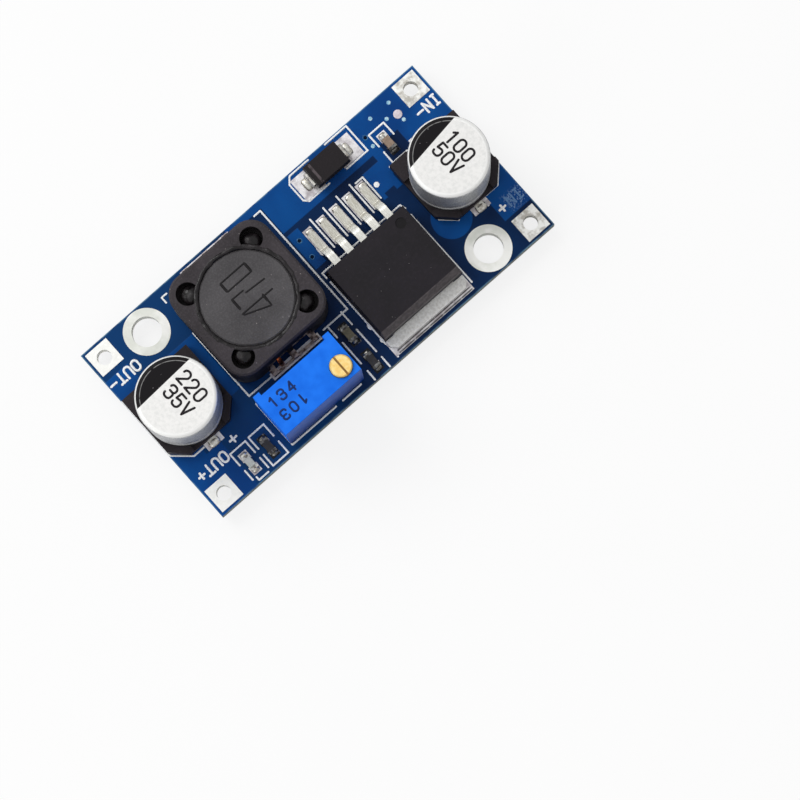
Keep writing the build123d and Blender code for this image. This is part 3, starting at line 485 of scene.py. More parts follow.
TOP_COPPER = [
    (1.15, 12.9, 6.35, 11.0), (-3.0, 1.2, 9.7, 11.0), (10.75, 13.1, 2.3, 5.6), (12.8, 22.0, 3.7, 11.0),
    (13.3, 17.6, -3.4, 2.0), (18.2, 22.0, -7.1, 3.2), (-22.0, -18.7, -11.0, 6.9), (-22.0, -16.9, -11.0, -4.9),
    (-22.0, -12.1, -2.2, 4.9), (1.2, 2.55, 1.6, 5.9),
]
TOP_LOBE = (14.45, -3.4, 2.05)
TOP_GAPS = [(13.95, 16.3, 4.3, 6.7), (11.2, 12.4, 1.4, 2.8)]
UNDERSIDE_COPPER = [
    (-22.0, 22.0, -4.6, 7.2), (-18.2, 18.2, -11.0, 11.0), (-22.0, -12.0, 5.0, 11.0), (12.0, 22.0, 4.0, 11.0),
]
# Where the lacquer is scuffed, where flux, painted shade and painted dark reflections darken the solder, and
# the dimple in the regulator's top.
SCUFF = (19.5, 21.5, -6.8, -5.2)
FLUX_AND_SHADE = [(-1.3, 0.1, -10.2, -3.9), (-14.4, -13.0, -10.0, -6.6), (14.0, 15.5, 4.6, 6.0)]
DIMPLE = (10.1, -0.955, 0.55)


def board_finish(look):
    """Blue lacquer, lighter over copper than over bare laminate, and a sawn laminate edge."""
    skin = Finish("blue_lacquer", roughness=0.34, specular=0.08)
    x, y, z = skin.millimetres()
    above = z.fade(TOP - 0.8, TOP - 0.7)
    soft = 0.06
    inside = islands(x, y, TOP_COPPER).most(disc(x, y, TOP_LOBE)).least(0 - islands(x, y, TOP_GAPS))
    top = inside.fade(-soft, soft)
    under = islands(x, y, UNDERSIDE_COPPER).fade(-soft, soft)
    copper = top * above + under * (1 - above)
    cloud = skin.cloud(6.0, 4.0).fade(0.3, 0.7)
    over_copper = skin.mix(cloud, tuple(look.lacquer_on_copper), tuple(look.lacquer_on_copper_pale))
    paleness = (cloud * 0.4 + 1 - x.fade(-14, 2)).least(1.0)
    over_laminate = skin.mix(paleness, tuple(look.lacquer_on_laminate), tuple(look.lacquer_on_laminate_pale))
    face = skin.mix(copper, over_laminate, over_copper)
    border = (abs(x) - BOARD_HIGH.x).most(abs(y) - BOARD_HIGH.y).fade(-0.13, -0.07)
    face = skin.mix(border * skin.cloud(1.5).fade(0.3, 0.6) * 0.6, face, shade(104, 150, 176))
    scuffed = island(x, y, SCUFF).fade(-0.4, 0.3) * above * skin.cloud(0.16, 5.0).fade(0.5, 0.62)
    face = skin.mix(scuffed * 0.55, face, shade(150, 178, 214))
    rim = 0.03
    edge_x = abs(x) - (BOARD_HIGH.x - rim)
    edge_y = abs(y) - (BOARD_HIGH.y - rim)
    side = edge_x.most(edge_y).fade(0.0, rim / 2)
    core = (z.fade(UNDERSIDE + 0.03, UNDERSIDE + 0.09)) * (1 - z.fade(TOP - 0.09, TOP - 0.03))
    weave = (z * 31.0).sine() * 0.5 + skin.cloud(0.5, 3.0, skin.stretched((1, 1, 6)))
    laminate = skin.mix(weave.fade(0.1, 1.1), shade(104, 106, 102), shade(160, 162, 154))
    skin.set(base_color=skin.mix(side * core, face, laminate))
    skin.set(roughness=side * core * 0.5 + skin.cloud(2.0).fade(0.2, 0.8) * 0.12 + 0.28)
    peel = skin.cloud(0.35, 2.0) * 0.2
    skin.bump(copper + peel, 0.02, 0.6)
    return skin


def tinned_finish(name, bright=(232, 232, 226), dull=(176, 172, 164), patch=1.1, rough=0.3, metal=0.75,
                  even_end=0.0):
    """Hot tin: silver, in uneven patches, with a lumpy skin. The low end of X may be more even."""
    tin = Finish(name, metallic=metal)
    patches = tin.cloud(patch, 4.0).fade(0.38, 0.66)
    if even_end:
        patches = patches * (1 - (1 - tin.millimetres()[0].fade(-10, 10)) * even_end)
    tin.paint(tin.mix(patches, shade(*bright), shade(*dull)))
    tin.set(roughness=tin.cloud(patch * 0.4, 3.0).fade(0.2, 0.8) * 0.22 + rough)
    tin.bump(tin.cloud(patch * 0.7, 3.0), 0.05, 0.5)
    return tin


def darken_in_patches(finish, patches, share, soft=0.1):
    """Lays a dark colour over the finish's colours, in patches of the board's plane: painted shade and
    painted dark reflections, in places with flux.
    """
    x, y = finish.millimetres()[:2]
    spots = finish.cloud(0.35, 3.0).fade(0.25, 0.45)
    dark_share = islands(x, y, patches).fade(-soft, soft) * spots * share
    finish.paint(finish.mix(dark_share, finish.colours, shade(24, 23, 26)))
    return finish


def land_finish():
    """The flat lands: flux mixed with painted shade round the small parts, and two dark stripes in the solder
    at the tab's end, the nearer one a painted shadow of the tab.
    """
    tin = tinned_finish("land_tin", (238, 236, 238), (186, 180, 184), 0.8, 0.4, 0.55)
    # Round the small parts: flux mixed with painted shade and painted dark reflections.
    darken_in_patches(tin, FLUX_AND_SHADE, 1.0)
    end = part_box("regulator_tab")[0].y / MM
    # Two dark stripes beyond the tab's end: the nearer is a painted shadow of the tab, the other a dark line.
    tab_end_stripes = [(1.9, 11.4, end - 0.15, end - 0.02), (1.9, 11.4, end - 0.45, end - 0.3)]
    return darken_in_patches(tin, tab_end_stripes, 0.85, soft=0.03)


def ink_finish(name, colour, worn):
    """Printed ink with a dry, slightly patchy face."""
    ink = Finish(name, specular=0.25)
    wear = ink.cloud(0.22, 4.0).fade(0.56, 0.8)
    ink.set(base_color=ink.mix(wear, tuple(colour), tuple(worn)))
    ink.set(roughness=ink.cloud(0.5).fade(0.2, 0.8) * 0.2 + 0.5)
    ink.bump(ink.cloud(0.12, 2.0), 0.008, 0.6)
    return ink


def can_finish(name, node, chord, look):
    """Aluminium: matt cap with a black printed segment inside a bare rim, a drawn side, and painted
    highlights: the cap lighter towards its rim, and a thin arc across the print.
    """
    can = Finish(name, specular=0.15)
    centre = middle(node)
    x, y, z = can.millimetres()
    across, along = x - centre.x, y - centre.y
    radius = (across * across + along * along) ** 0.5
    cap = z.fade(top_of(node) - 0.3, top_of(node) - 0.14)
    (start_x, start_y), (end_x, end_y) = chord
    run = Vector((end_x - start_x, end_y - start_y)).normalized()
    beyond = (y - start_y) * run.x - (x - start_x) * run.y
    beyond = beyond if run.x > 0 else 0 - beyond
    # A thin painted highlight: an arc that lightens the black print near the cap's rim.
    arc_highlight = radius.fade(3.4, 3.44) * (1 - radius.fade(3.47, 3.51)) * can.cloud(0.7).fade(0.3, 0.5)
    segment = beyond.fade(0.0, 0.05) * (1 - radius.fade(3.8, 3.86)) * cap * (1 - arc_highlight * 0.3)
    dust = can.specks(0.4, 0.1) * can.cloud(1.2).fade(0.5, 0.6)
    black = can.mix(dust, shade(14, 11, 15), shade(170, 166, 168))
    mottle = can.cloud(0.3, 4.0).fade(0.35, 0.75)
    flat_metal = can.mix(mottle, tuple(look.can_cap), shade(228, 228, 226))
    # Painted highlight: the cap lighter towards its rim.
    cap_metal = can.mix(radius.fade(3.5, 3.62), flat_metal, shade(252, 252, 250))
    drawn = can.cloud(0.5, 4.0, can.stretched((9, 9, 0.7))).fade(0.3, 0.7)
    side_metal = can.mix(drawn, shade(150, 151, 154), shade(206, 207, 208))
    metal = can.mix(cap, side_metal, cap_metal)
    can.set(base_color=can.mix(segment, metal, black))
    can.set(metallic=(1 - segment) * (0.8 - cap * 0.4))
    can.set(roughness=cap * 0.06 + drawn * 0.1 + 0.38)
    can.bump(drawn * (1 - cap) + can.cloud(0.2, 2.0) * 0.3, 0.012, 0.5)
    return can


def moulding_finish(name, colour, pale, grain=0.16, rough=0.55, dust=0.0):
    """Moulded plastic or resin: fine grain, faint clouds and, where asked, pale dust."""
    skin = Finish(name, specular=0.2)
    cloud = skin.cloud(2.6, 4.0).fade(0.3, 0.7)
    fine = skin.cloud(grain, 3.0)
    colours = skin.mix(cloud * 0.6 + fine.fade(0.45, 0.75) * 0.4, shade(*colour), shade(*pale))
    if dust:
        bright = skin.specks(0.45, dust) * skin.cloud(1.7).fade(0.5, 0.62)
        colours = skin.mix(bright * 0.6, colours, shade(150, 146, 146))
    skin.paint(colours)
    skin.set(roughness=cloud * 0.12 + rough)
    skin.bump(fine, 0.02, 0.7)
    return skin


def regulator_finish():
    """The regulator's resin: a worn slope above the tab, and a dark polished dimple."""
    skin = moulding_finish("regulator_resin", (24, 21, 26), (36, 32, 38), 0.3, 0.5, dust=0.1)
    x, y, z = skin.millimetres()
    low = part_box("regulator_body")[0] / MM
    worn = skin.cloud(0.4, 4.0).fade(0.3, 0.8) * 0.5 + 0.5
    ridge = low.y + 0.68
    foot, face = 5.5, 6.6
    slope = (1 - y.fade(ridge - 0.04, ridge + 0.04)) * z.fade(foot - 0.1, foot + 0.1) * worn
    dimple = disc(x, y, DIMPLE).fade(0.0, 0.06) * z.fade(face - 0.1, face + 0.1)
    skin.paint(skin.mix(slope, skin.colours, shade(92, 86, 88)))
    skin.paint(skin.mix(dimple * 0.7, skin.colours, shade(8, 7, 9)))
    return skin


def diode_finish():
    """The diode's resin with a faint band at its cathode end."""
    skin = moulding_finish("diode_resin", (22, 18, 21), (36, 31, 34), 0.16, 0.5)
    x, y, z = skin.millimetres()
    start = middle("diode_body").x - 1.55
    band = x.fade(start, start + 0.04) * (1 - x.fade(start + 0.26, start + 0.3))
    band = band * z.fade(4.8, 4.9) * skin.cloud(0.3).fade(0.3, 0.6)
    skin.paint(skin.mix(band * 0.6, skin.colours, shade(110, 100, 104)))
    return skin


def shield_finish():
    """The square ring of ferrite, with painted shade below its top face: darker in the groove, the notches
    and down its sides.
    """
    stone = ferrite_finish("ring_ferrite", (47, 43, 46), (72, 67, 71))
    roof = top_of("inductor_shield")
    # Painted shade, deeper further below the top face.
    depth = 1 - stone.millimetres()[2].fade(roof - 0.5, roof - 0.15)
    stone.paint(stone.mix(depth * 0.75, stone.colours, shade(14, 12, 15)))
    return stone


def ferrite_finish(name, colour, pale):
    """Fired ferrite: dull, grainy, with pale chips and dust."""
    stone = Finish(name, specular=0.2)
    grain = stone.cloud(0.18, 4.0)
    cloud = stone.cloud(3.0, 5.0).fade(0.3, 0.7)
    body = stone.mix(cloud * 0.55 + grain.fade(0.4, 0.75) * 0.45, shade(*colour), shade(*pale))
    chips = stone.specks(0.5, 0.11) * stone.cloud(1.4).fade(0.5, 0.62)
    stone.paint(stone.mix(chips * 0.7, body, shade(180, 172, 168)))
    stone.set(roughness=cloud * 0.14 + 0.56)
    stone.bump(grain + stone.cloud(0.7, 2.0) * 0.5, 0.04, 0.8)
    return stone


def metal_finish(name, colour, pale, rough=0.3, grain=0.2, metallic=1.0):
    """Bare metal with a fine grain."""
    metal = Finish(name, metallic=metallic)
    fine = metal.cloud(grain, 4.0).fade(0.3, 0.7)
    metal.set(base_color=metal.mix(fine, shade(*colour), shade(*pale)))
    metal.set(roughness=fine * 0.14 + rough)
    metal.bump(fine, 0.01, 0.5)
    return metal


def lead_finish():
    """The regulator's tinned leads: bright shoulders, which carry a painted highlight, and duller feet."""
    lead = Finish("regulator_lead_tin", metallic=0.3)
    lines = lead.cloud(0.25, 4.0, lead.stretched((3, 0.4, 1))).fade(0.3, 0.7)
    foot = 1 - lead.millimetres()[2].fade(3.3, 4.5)
    # Lighter towards the top: a painted highlight on the shoulders.
    tone = (lines * 0.4 + foot * 0.5).least(1.0)
    lead.set(base_color=lead.mix(tone, shade(255, 255, 248), shade(178, 174, 160)))
    lead.set(roughness=lines * 0.15 + 0.34)
    lead.bump(lines, 0.02, 0.5)
    return lead


def housing_finish(look):
    """The trimmer's blue plastic, with painted shade on its front, deeper towards the bottom."""
    housing = Finish("trimmer_plastic", specular=0.12)
    cloud = housing.cloud(1.6, 4.0).fade(0.3, 0.7)
    low, high = (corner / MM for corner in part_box("trimmer_housing"))
    x, y, z = housing.millimetres()
    # Painted shade on the front face, deeper towards the bottom.
    front = 1 - y.fade(low.y + 0.02, low.y + 0.07)
    front_shade = front * (1 - z.fade(low.z, high.z) * 0.4)
    blue = housing.mix(cloud, tuple(look.trimmer), shade(26, 122, 248))
    housing.set(base_color=housing.mix(front_shade, blue, shade(6, 52, 128)))
    housing.set(roughness=cloud * 0.1 + 0.42)
    housing.bump(housing.cloud(0.2, 3.0), 0.012, 0.6)
    return housing


def screw_finish():
    """Cut brass, with painted shade in the screw's slot."""
    brass = Finish("screw_brass", metallic=0.6)
    fine = brass.cloud(0.12, 4.0).fade(0.3, 0.7)
    tone = brass.mix(brass.cloud(0.4).fade(0.3, 0.7), shade(250, 208, 120), shade(255, 228, 156))
    x, y, z = brass.millimetres()
    centre, head = middle("trimmer_screw"), top_of("trimmer_screw")
    # Painted shade in the slot.
    slot = (1 - abs(x - centre.x).fade(0.09, 0.12)) * (1 - z.fade(head - 0.25, head - 0.02))
    brass.set(base_color=brass.mix(slot * 0.8, tone, shade(130, 88, 40)))
    brass.set(roughness=fine * 0.14 + 0.34)
    brass.bump(fine, 0.01, 0.5)
    return brass


def ceramic_finish(name, colour, pale, rough=0.4):
    """Fired ceramic or glaze of a small part."""
    body = Finish(name, specular=0.4)
    cloud = body.cloud(0.3, 4.0).fade(0.3, 0.7)
    body.set(base_color=body.mix(cloud, shade(*colour), shade(*pale)))
    body.set(roughness=cloud * 0.15 + rough)
    body.bump(cloud, 0.01, 0.6)
    return body


# Places of the printed legend, in millimetres from the board's centre. A mark has its text, the corner
# where it starts, and its letters' height, width and pitch.

PART_OUTLINES = [
    # Inductor.
    [(0.15, 9.58), (0.94, 9.58), (0.94, -3.31), (-2.15, -3.31)],
    [(-11.3, 9.55), (-11.9, 9.55), (-11.9, 8.9)],
    [(-11.9, 4.9), (-11.87, -3.37), (-8.65, -3.4)],
    # Regulator.
    [(1.42, 0.3), (1.42, 0.92), (11.55, 0.92), (11.72, 0.35)],
    [(11.72, -0.5), (11.78, -9.4)],
    [(1.46, -0.25), (1.48, -8.3), (1.62, -9.1), (1.55, -10.1)],
    [(9.72, 5.42), (10.62, 5.42), (10.62, 2.7)],
    [(2.62, 3.1), (2.62, 2.4)],
    # Diode.
    [(10.0, 10.3), (12.76, 10.3), (12.76, 7.08), (10.05, 7.08)],
    [(7.75, 10.25), (5.35, 10.25), (4.78, 9.6), (4.78, 7.55), (5.2, 7.1), (7.8, 7.12)],
    # Input chip capacitor.
    [(15.76, 6.62), (15.74, 8.12), (13.82, 8.12), (13.84, 6.63)],
    [(13.84, 5.88), (13.82, 4.5), (15.65, 4.5)],
    # Light and its resistor.
    [(-15.06, -7.88), (-15.06, -6.42), (-17.02, -6.42), (-17.02, -7.87)],
    [(-15.06, -8.62), (-15.06, -9.84)],
    [(-17.0, -8.6), (-17.0, -9.76)],
    [(-16.55, -9.8), (-16.53, -10.18), (-15.35, -10.18)],
    [(-12.64, -7.86), (-12.64, -6.37), (-14.6, -6.37), (-14.6, -7.85)],
    [(-12.64, -8.6), (-12.64, -10.04), (-14.6, -10.04), (-14.6, -8.62)],
    # Feedback parts.
    [(0.28, -3.15), (0.28, -4.75)],
    [(0.28, -5.45), (0.3, -8.3)],
    [(0.33, -9.07), (0.33, -10.3)],
    [(-1.66, -3.36), (-1.66, -4.76)],
    [(-1.6, -5.52), (-1.6, -8.22)],
    [(-1.6, -9.18), (-1.62, -10.3)],
    # Trimmer.
    [(-11.86, -4.4), (-11.84, -9.74), (-6.2, -9.76)],
    [(-5.32, -9.76), (-2.95, -9.74)],
    # Input and output capacitors.
    [(18.6, 4.42), (21.5, 4.42), (21.5, -2.36), (20.0, -3.93), (18.5, -3.93)],
    [(16.2, 4.42), (13.3, 4.42)],
    [(13.45, -2.66), (14.9, -4.0)],
    [(-18.6, 4.42), (-21.5, 4.42), (-21.5, -2.64), (-19.74, -4.22), (-18.5, -4.22)],
]
LEAD_BARS = [[(x, 5.7), (x, 2.1)] for x in (4.02, 5.73, 7.45, 9.17)]
LEGEND_DOTS = [(11.17, 3.96, 0.29), (18.0, -4.75, 0.16)]
LINE_BLOBS = [(1.55, -6.1, 0.36, 0.42), (1.47, -7.87, 0.24, 0.26)]
LETTER = (1.08, 0.66, 0.95)
MARKS_TOP = [
    ("OUT-", (-17.84, 6.76), *LETTER), ("OUT+", (-17.3, -5.66), *LETTER), ("IN-", (21.36, 7.02), *LETTER),
    ("+", (-15.4, -4.92), 1.1, 0.8, 1.0), ("+", (19.2, -5.4), 1.08, 0.7, 1.0),
]
RUBBED_MARK = ("IN", (21.25, -5.3), *LETTER)
MARKS_UNDERSIDE = [
    ("IN+", (18.1, -5.2)), ("IN-", (18.6, 7.1)), ("OUT+", (-20.7, -4.6)), ("OUT-", (-21.0, 7.0)),
]
ARROW_WIDTH = 0.62 * MM
GAP_WIDTH = 0.24 * MM
ARROW = [[(4.66, -1.2), (-4.9, -1.4)], [(-1.1, -4.6), (-5.0, -1.4), (-1.2, 2.1)]]
TRACK_GAPS = [
    [(-4.61, -8.25, 0.9), (-3.3, -8.25, 0.5), (-2.3, -7.5, 0.5), (2.6, -7.5, 0.4), (3.3, -6.8, 0.4),
     (3.3, -5.6)],
    [(-7.15, -5.7), (-2.9, -5.7, 0.5), (-1.9, -6.6, 0.5), (2.0, -6.6, 0.4), (2.4, -6.2, 0.3), (2.4, -5.6)],
]


class BoardLook(bpy.types.PropertyGroup):
    """Colours and sizes of the board's faces and print."""

    lacquer_on_copper: FloatVectorProperty(
        name="Lacquer on copper", description="Lacquer where copper lies under it",
        subtype="COLOR", size=4, default=shade(2, 60, 126))
    lacquer_on_copper_pale: FloatVectorProperty(
        name="Lacquer on copper, pale", description="The paler clouds of that lacquer",
        subtype="COLOR", size=4, default=shade(4, 78, 150))
    lacquer_on_laminate: FloatVectorProperty(
        name="Lacquer on laminate", description="Lacquer where no copper lies under it",
        subtype="COLOR", size=4, default=shade(2, 26, 62))
    lacquer_on_laminate_pale: FloatVectorProperty(
        name="Lacquer on laminate, pale", description="The paler clouds of that lacquer",
        subtype="COLOR", size=4, default=shade(8, 58, 110))
    legend: FloatVectorProperty(
        name="Legend ink", description="Colour of the printed outlines and letters",
        subtype="COLOR", size=4, default=shade(252, 253, 253))
    legend_worn: FloatVectorProperty(
        name="Worn legend ink", description="Colour where the ink is thin",
        subtype="COLOR", size=4, default=shade(212, 224, 234))
    line_width: FloatProperty(
        name="Line width", description="Width of a printed line",
        unit="LENGTH", default=0.185 * MM)
    ink_thickness: FloatProperty(
        name="Ink thickness", description="Thickness of the printed ink",
        unit="LENGTH", default=0.03 * MM)


class PartLook(bpy.types.PropertyGroup):
    """Colours of the parts that stand out."""

    can_cap: FloatVectorProperty(
        name="Can cap", description="Matt aluminium of a capacitor's cap",
        subtype="COLOR", size=4, default=shade(241, 240, 238))
    trimmer: FloatVectorProperty(
        name="Trimmer", description="Plastic of the trimmer's housing",
        subtype="COLOR", size=4, default=shade(14, 108, 232))


class StageLook(bpy.types.PropertyGroup):
    """The floor, the daylight and the lamps."""

    floor: FloatVectorProperty(
        name="Floor", description="Colour of the floor", subtype="COLOR", size=4,
        default=shade(246, 246, 246))
    zenith: FloatProperty(
        name="Zenith", description="Daylight from straight above, 1 is white", default=0.8)
    horizon: FloatProperty(
        name="Horizon", description="Daylight from the sides, 1 is white", default=0.4)
    key: FloatProperty(
        name="Key light", description="Share of white that the main lamp adds", default=0.34)
    side: FloatProperty(
        name="Side light", description="Share of white that the second lamp adds", default=0.06)


class Step:
    """What every step of the making shares."""

    bl_options = {"REGISTER", "UNDO"}

    @property
    def look(self):
        return bpy.context.scene.module_board

    @property
    def parts(self):
        return bpy.context.scene.module_parts


class MODULE_OT_board(Step, bpy.types.Operator):
    """Finish the board and its tinned lands"""

    bl_idname = "module.board"
    bl_label = "Board and lands"

    def execute(self, context):
        dress("circuit_board", board_finish(self.look))
        rings = tinned_finish("ring_tin", (250, 250, 246), (226, 228, 220), 2.2, 0.45, 0.4)
        dress("mounting_hole_lands", rings)
        bright, dull = (250, 250, 246), (192, 188, 180)
        corners = tinned_finish("terminal_tin", bright, dull, 0.6, 0.42, 0.4, even_end=0.9)
        dress("terminal_lands", corners)
        dress("spare_hole_lands", tinned_finish("hole_tin"))
        dress("trimmer_hole_lands", tinned_finish("pin_hole_tin"))
        dress("surface_lands", land_finish())
        return {"FINISHED"}


class MODULE_OT_legend(Step, bpy.types.Operator):
    """Print the white outlines, letters and marks on both faces"""

    bl_idname = "module.legend"
    bl_label = "Printed legend"

    def execute(self, context):
        look = self.look
        white = ink_finish("legend_ink", look.legend, look.legend_worn)
        faded = ink_finish("legend_faded", shade(96, 134, 182), shade(30, 84, 150))
        navy = ink_finish("bare_gap", look.lacquer_on_laminate, look.lacquer_on_laminate_pale)
        printed = line_recipe(white)
        self.top(printed, line_recipe(faded))
        self.underside(printed, line_recipe(navy))
        self.dots(bead_recipe(white))
        return {"FINISHED"}

    def put(self, recipe, name, strokes, height, width, share=1.0):
        """Prints strokes of one width on a face, in a share of the ink's thickness."""
        sizes = {"Width": width, "Thickness": self.look.ink_thickness * share}
        recipe.grow(stroke_mesh(name, strokes, height), "solder_mask", sizes)

    def top(self, printed, faded):
        """Outlines and marks, whose letters stand on their heads, and one mark that is rubbed off."""
        width = self.look.line_width
        self.put(printed, "legend_outlines", PART_OUTLINES + LEAD_BARS, TOP, width)
        strokes = []
        for text, start, *size in MARKS_TOP:
            strokes += letters(text, start, (-1, 0), (0, -1), *size)
        self.put(printed, "legend_letters", strokes, TOP, width * 1.25)
        text, start, *size = RUBBED_MARK
        self.put(faded, "legend_worn", letters(text, start, (-1, 0), (0, -1), *size), TOP, width)

    def underside(self, printed, gaps):
        """Marks, the broad arrow and the gaps beside a track."""
        strokes = []
        for text, start in MARKS_UNDERSIDE:
            strokes += letters(text, start, (1, 0), (0, -1), 1.2, 0.66, 0.95)
        self.put(printed, "underside_letters", strokes, UNDERSIDE, self.look.line_width)
        self.put(printed, "underside_arrow", ARROW, UNDERSIDE, ARROW_WIDTH)
        self.put(gaps, "underside_gaps", TRACK_GAPS, UNDERSIDE, GAP_WIDTH, 0.5)

    def dots(self, beads):
        """Dots, and two blobs of ink on a line."""
        blobs = [(x, y, radius, radius) for x, y, radius in LEGEND_DOTS] + LINE_BLOBS
        spots = [(x, y, TOP) for x, y, *half in blobs]
        halves = [(*half, self.look.ink_thickness / MM) for x, y, *half in blobs]
        beads.grow(point_mesh("legend_dots", spots, half=halves), "solder_mask", {"Squareness": 1.0})


FILLED_VIAS = [(17.42, 9.26), (15.02, 9.27), (16.21, 8.17), (17.44, 7.02), (13.43, 7.05)]
TOP_VIAS = [(13.41, 8.18), (1.86, 4.81), (1.74, 2.8)]
UNDERSIDE_VIAS = [
    (20.04, 3.23), (21.09, 4.45), (18.89, 4.37), (20.05, 5.45), (17.57, 7.55), (11.02, -4.8), (10.95, -2.06),
    (9.54, -3.37), (9.57, -0.53), (7.95, -1.83), (6.6, -0.48), (13.48, 7.57), (13.43, 8.67), (15.05, 9.78),
    (16.14, 8.65), (-14.99, 2.73), (-13.9, 3.77), (-16.06, 3.71), (-19.03, 3.53), (-20.15, 4.5),
    (11.05, -7.75),
]
TEST_LAND = (17.34, 7.81, 0.46)


class MODULE_OT_vias(Step, bpy.types.Operator):
    """Place the vias on both faces and the round test land"""

    bl_idname = "module.vias"
    bl_label = "Vias"

    def execute(self, context):
        rim = Finish("via_rim", roughness=0.3, specular=0.4)
        tone = rim.cloud(0.5).fade(0.3, 0.7)
        rim.set(base_color=rim.mix(tone, shade(20, 84, 132), shade(72, 136, 176)))
        rings = ring_recipe(rim)
        sizes = {"Radius": 0.24 * MM, "Band": 0.045 * MM, "Height": 0.02 * MM}
        spots = [(x, y, TOP) for x, y in TOP_VIAS] + [(x, y, UNDERSIDE) for x, y in UNDERSIDE_VIAS]
        rings.grow(point_mesh("via_rings", spots), "solder_mask", sizes)
        core = Finish("via_core", roughness=0.5, specular=0.05)
        core.set(base_color=core.mix(core.cloud(0.3).fade(0.3, 0.7), shade(2, 8, 22), shade(6, 26, 50)))
        cores = bead_recipe(core)
        halves = [(0.17, 0.17, 0.012)] * len(spots)
        cores.grow(point_mesh("via_cores", spots, half=halves), "solder_mask", {"Squareness": 1.0})
        plug = Finish("via_plug", roughness=0.4, specular=0.3)
        tone = plug.cloud(0.3).fade(0.35, 0.65)
        plug.set(base_color=plug.mix(tone, shade(196, 226, 236), shade(120, 176, 206)))
        spots = [(x, y, TOP) for x, y in FILLED_VIAS]
        filled = point_mesh("via_plugs", spots, half=[(0.21, 0.21, 0.03)] * len(spots))
        bead_recipe(plug).grow(filled, "solder_mask", {"Squareness": 1.0})
        tin = bead_recipe(tinned_finish("test_tin", (226, 216, 222), (200, 190, 196), 0.5, 0.5, 0.3))
        x, y, radius = TEST_LAND
        land = point_mesh("test_land", [(x, y, TOP)], half=[(radius, radius, 0.045)])
        tin.grow(land, "tinned_land", {"Squareness": 1.0})
        return {"FINISHED"}


# The straight edge of each can's black segment, and its rows: text, the row's X, its first glyph's Y.
CAN_CHORDS = {
    "input": ((20.40, 2.62), (13.81, 1.74)),
    "output": ((-14.15, 1.95), (-20.72, 1.66)),
}
CAN_ROWS = {
    "input": (("100", 18.83, 1.36), ("50V", 17.15, 1.23)),
    "output": (("220", -15.5, 1.02), ("35V", -17.4, 0.83)),
}


class MODULE_OT_capacitors(Step, bpy.types.Operator):
    """Finish the two can capacitors and print their values"""

    bl_idname = "module.capacitors"
    bl_label = "Can capacitors"

    def execute(self, context):
        black = ink_finish("can_ink", shade(26, 22, 26), shade(44, 40, 44))
        printed = line_recipe(black)
        for end, chord in CAN_CHORDS.items():
            can = f"{end}_capacitor_can"
            dress(can, can_finish(f"{end}_can_metal", can, chord, self.parts))
            dress(f"{end}_capacitor_base", moulding_finish(f"{end}_base_resin", (34, 29, 33), (52, 46, 50)))
            feet = tinned_finish(f"{end}_lead_tin", (228, 227, 220), (180, 174, 162), 0.5)
            dress(f"{end}_capacitor_leads", feet)
            height, width, pitch = 1.36, 0.76, 1.15
            strokes = []
            for text, x, y in CAN_ROWS[end]:
                start = (x - height / 2, y + width / 2)
                strokes += letters(text, start, (0, -1), (1, 0), height, width, pitch)
            mesh = stroke_mesh(f"{end}_can_print", strokes, top_of(can))
            printed.grow(mesh, "can_aluminium", {"Width": 0.225 * MM, "Thickness": 0.03 * MM})
        return {"FINISHED"}


DRUM_VALUE = [
    [(-6.92, 4.8), (-3.92, 4.8)], [(-6.92, 5.86), (-3.92, 5.86)],
    [(-7.15, 3.96), (-5.74, 3.93)], [(-5.66, 3.6), (-3.47, 3.44)],
    [(-7.3, 2.24), (-3.53, 2.2)], [(-4.57, 2.4), (-4.6, 1.06)], [(-4.66, 1.06), (-7.22, 2.08)],
]
DRUM_VALUE_BOLD = [
    [(-6.96, 4.9), (-6.96, 5.76)], [(-3.92, 4.9), (-3.92, 5.76)], [(-7.13, 3.86), (-7.13, 2.8)],
    [(-4.6, 2.3), (-4.6, 1.7)],
]


# The resin: its ring's size and depth under the shield's top, and the blob in each corner notch.
GLUE_RING = {"Radius": 4.93 * MM, "Band": 0.26 * MM, "Lump": 0.34 * MM}
GLUE_DEPTH = 0.13
NOTCH_REACH = 3.86
BLOB_HALF = (0.95, 0.95, 0.5)
BLOB_DROP = 0.75


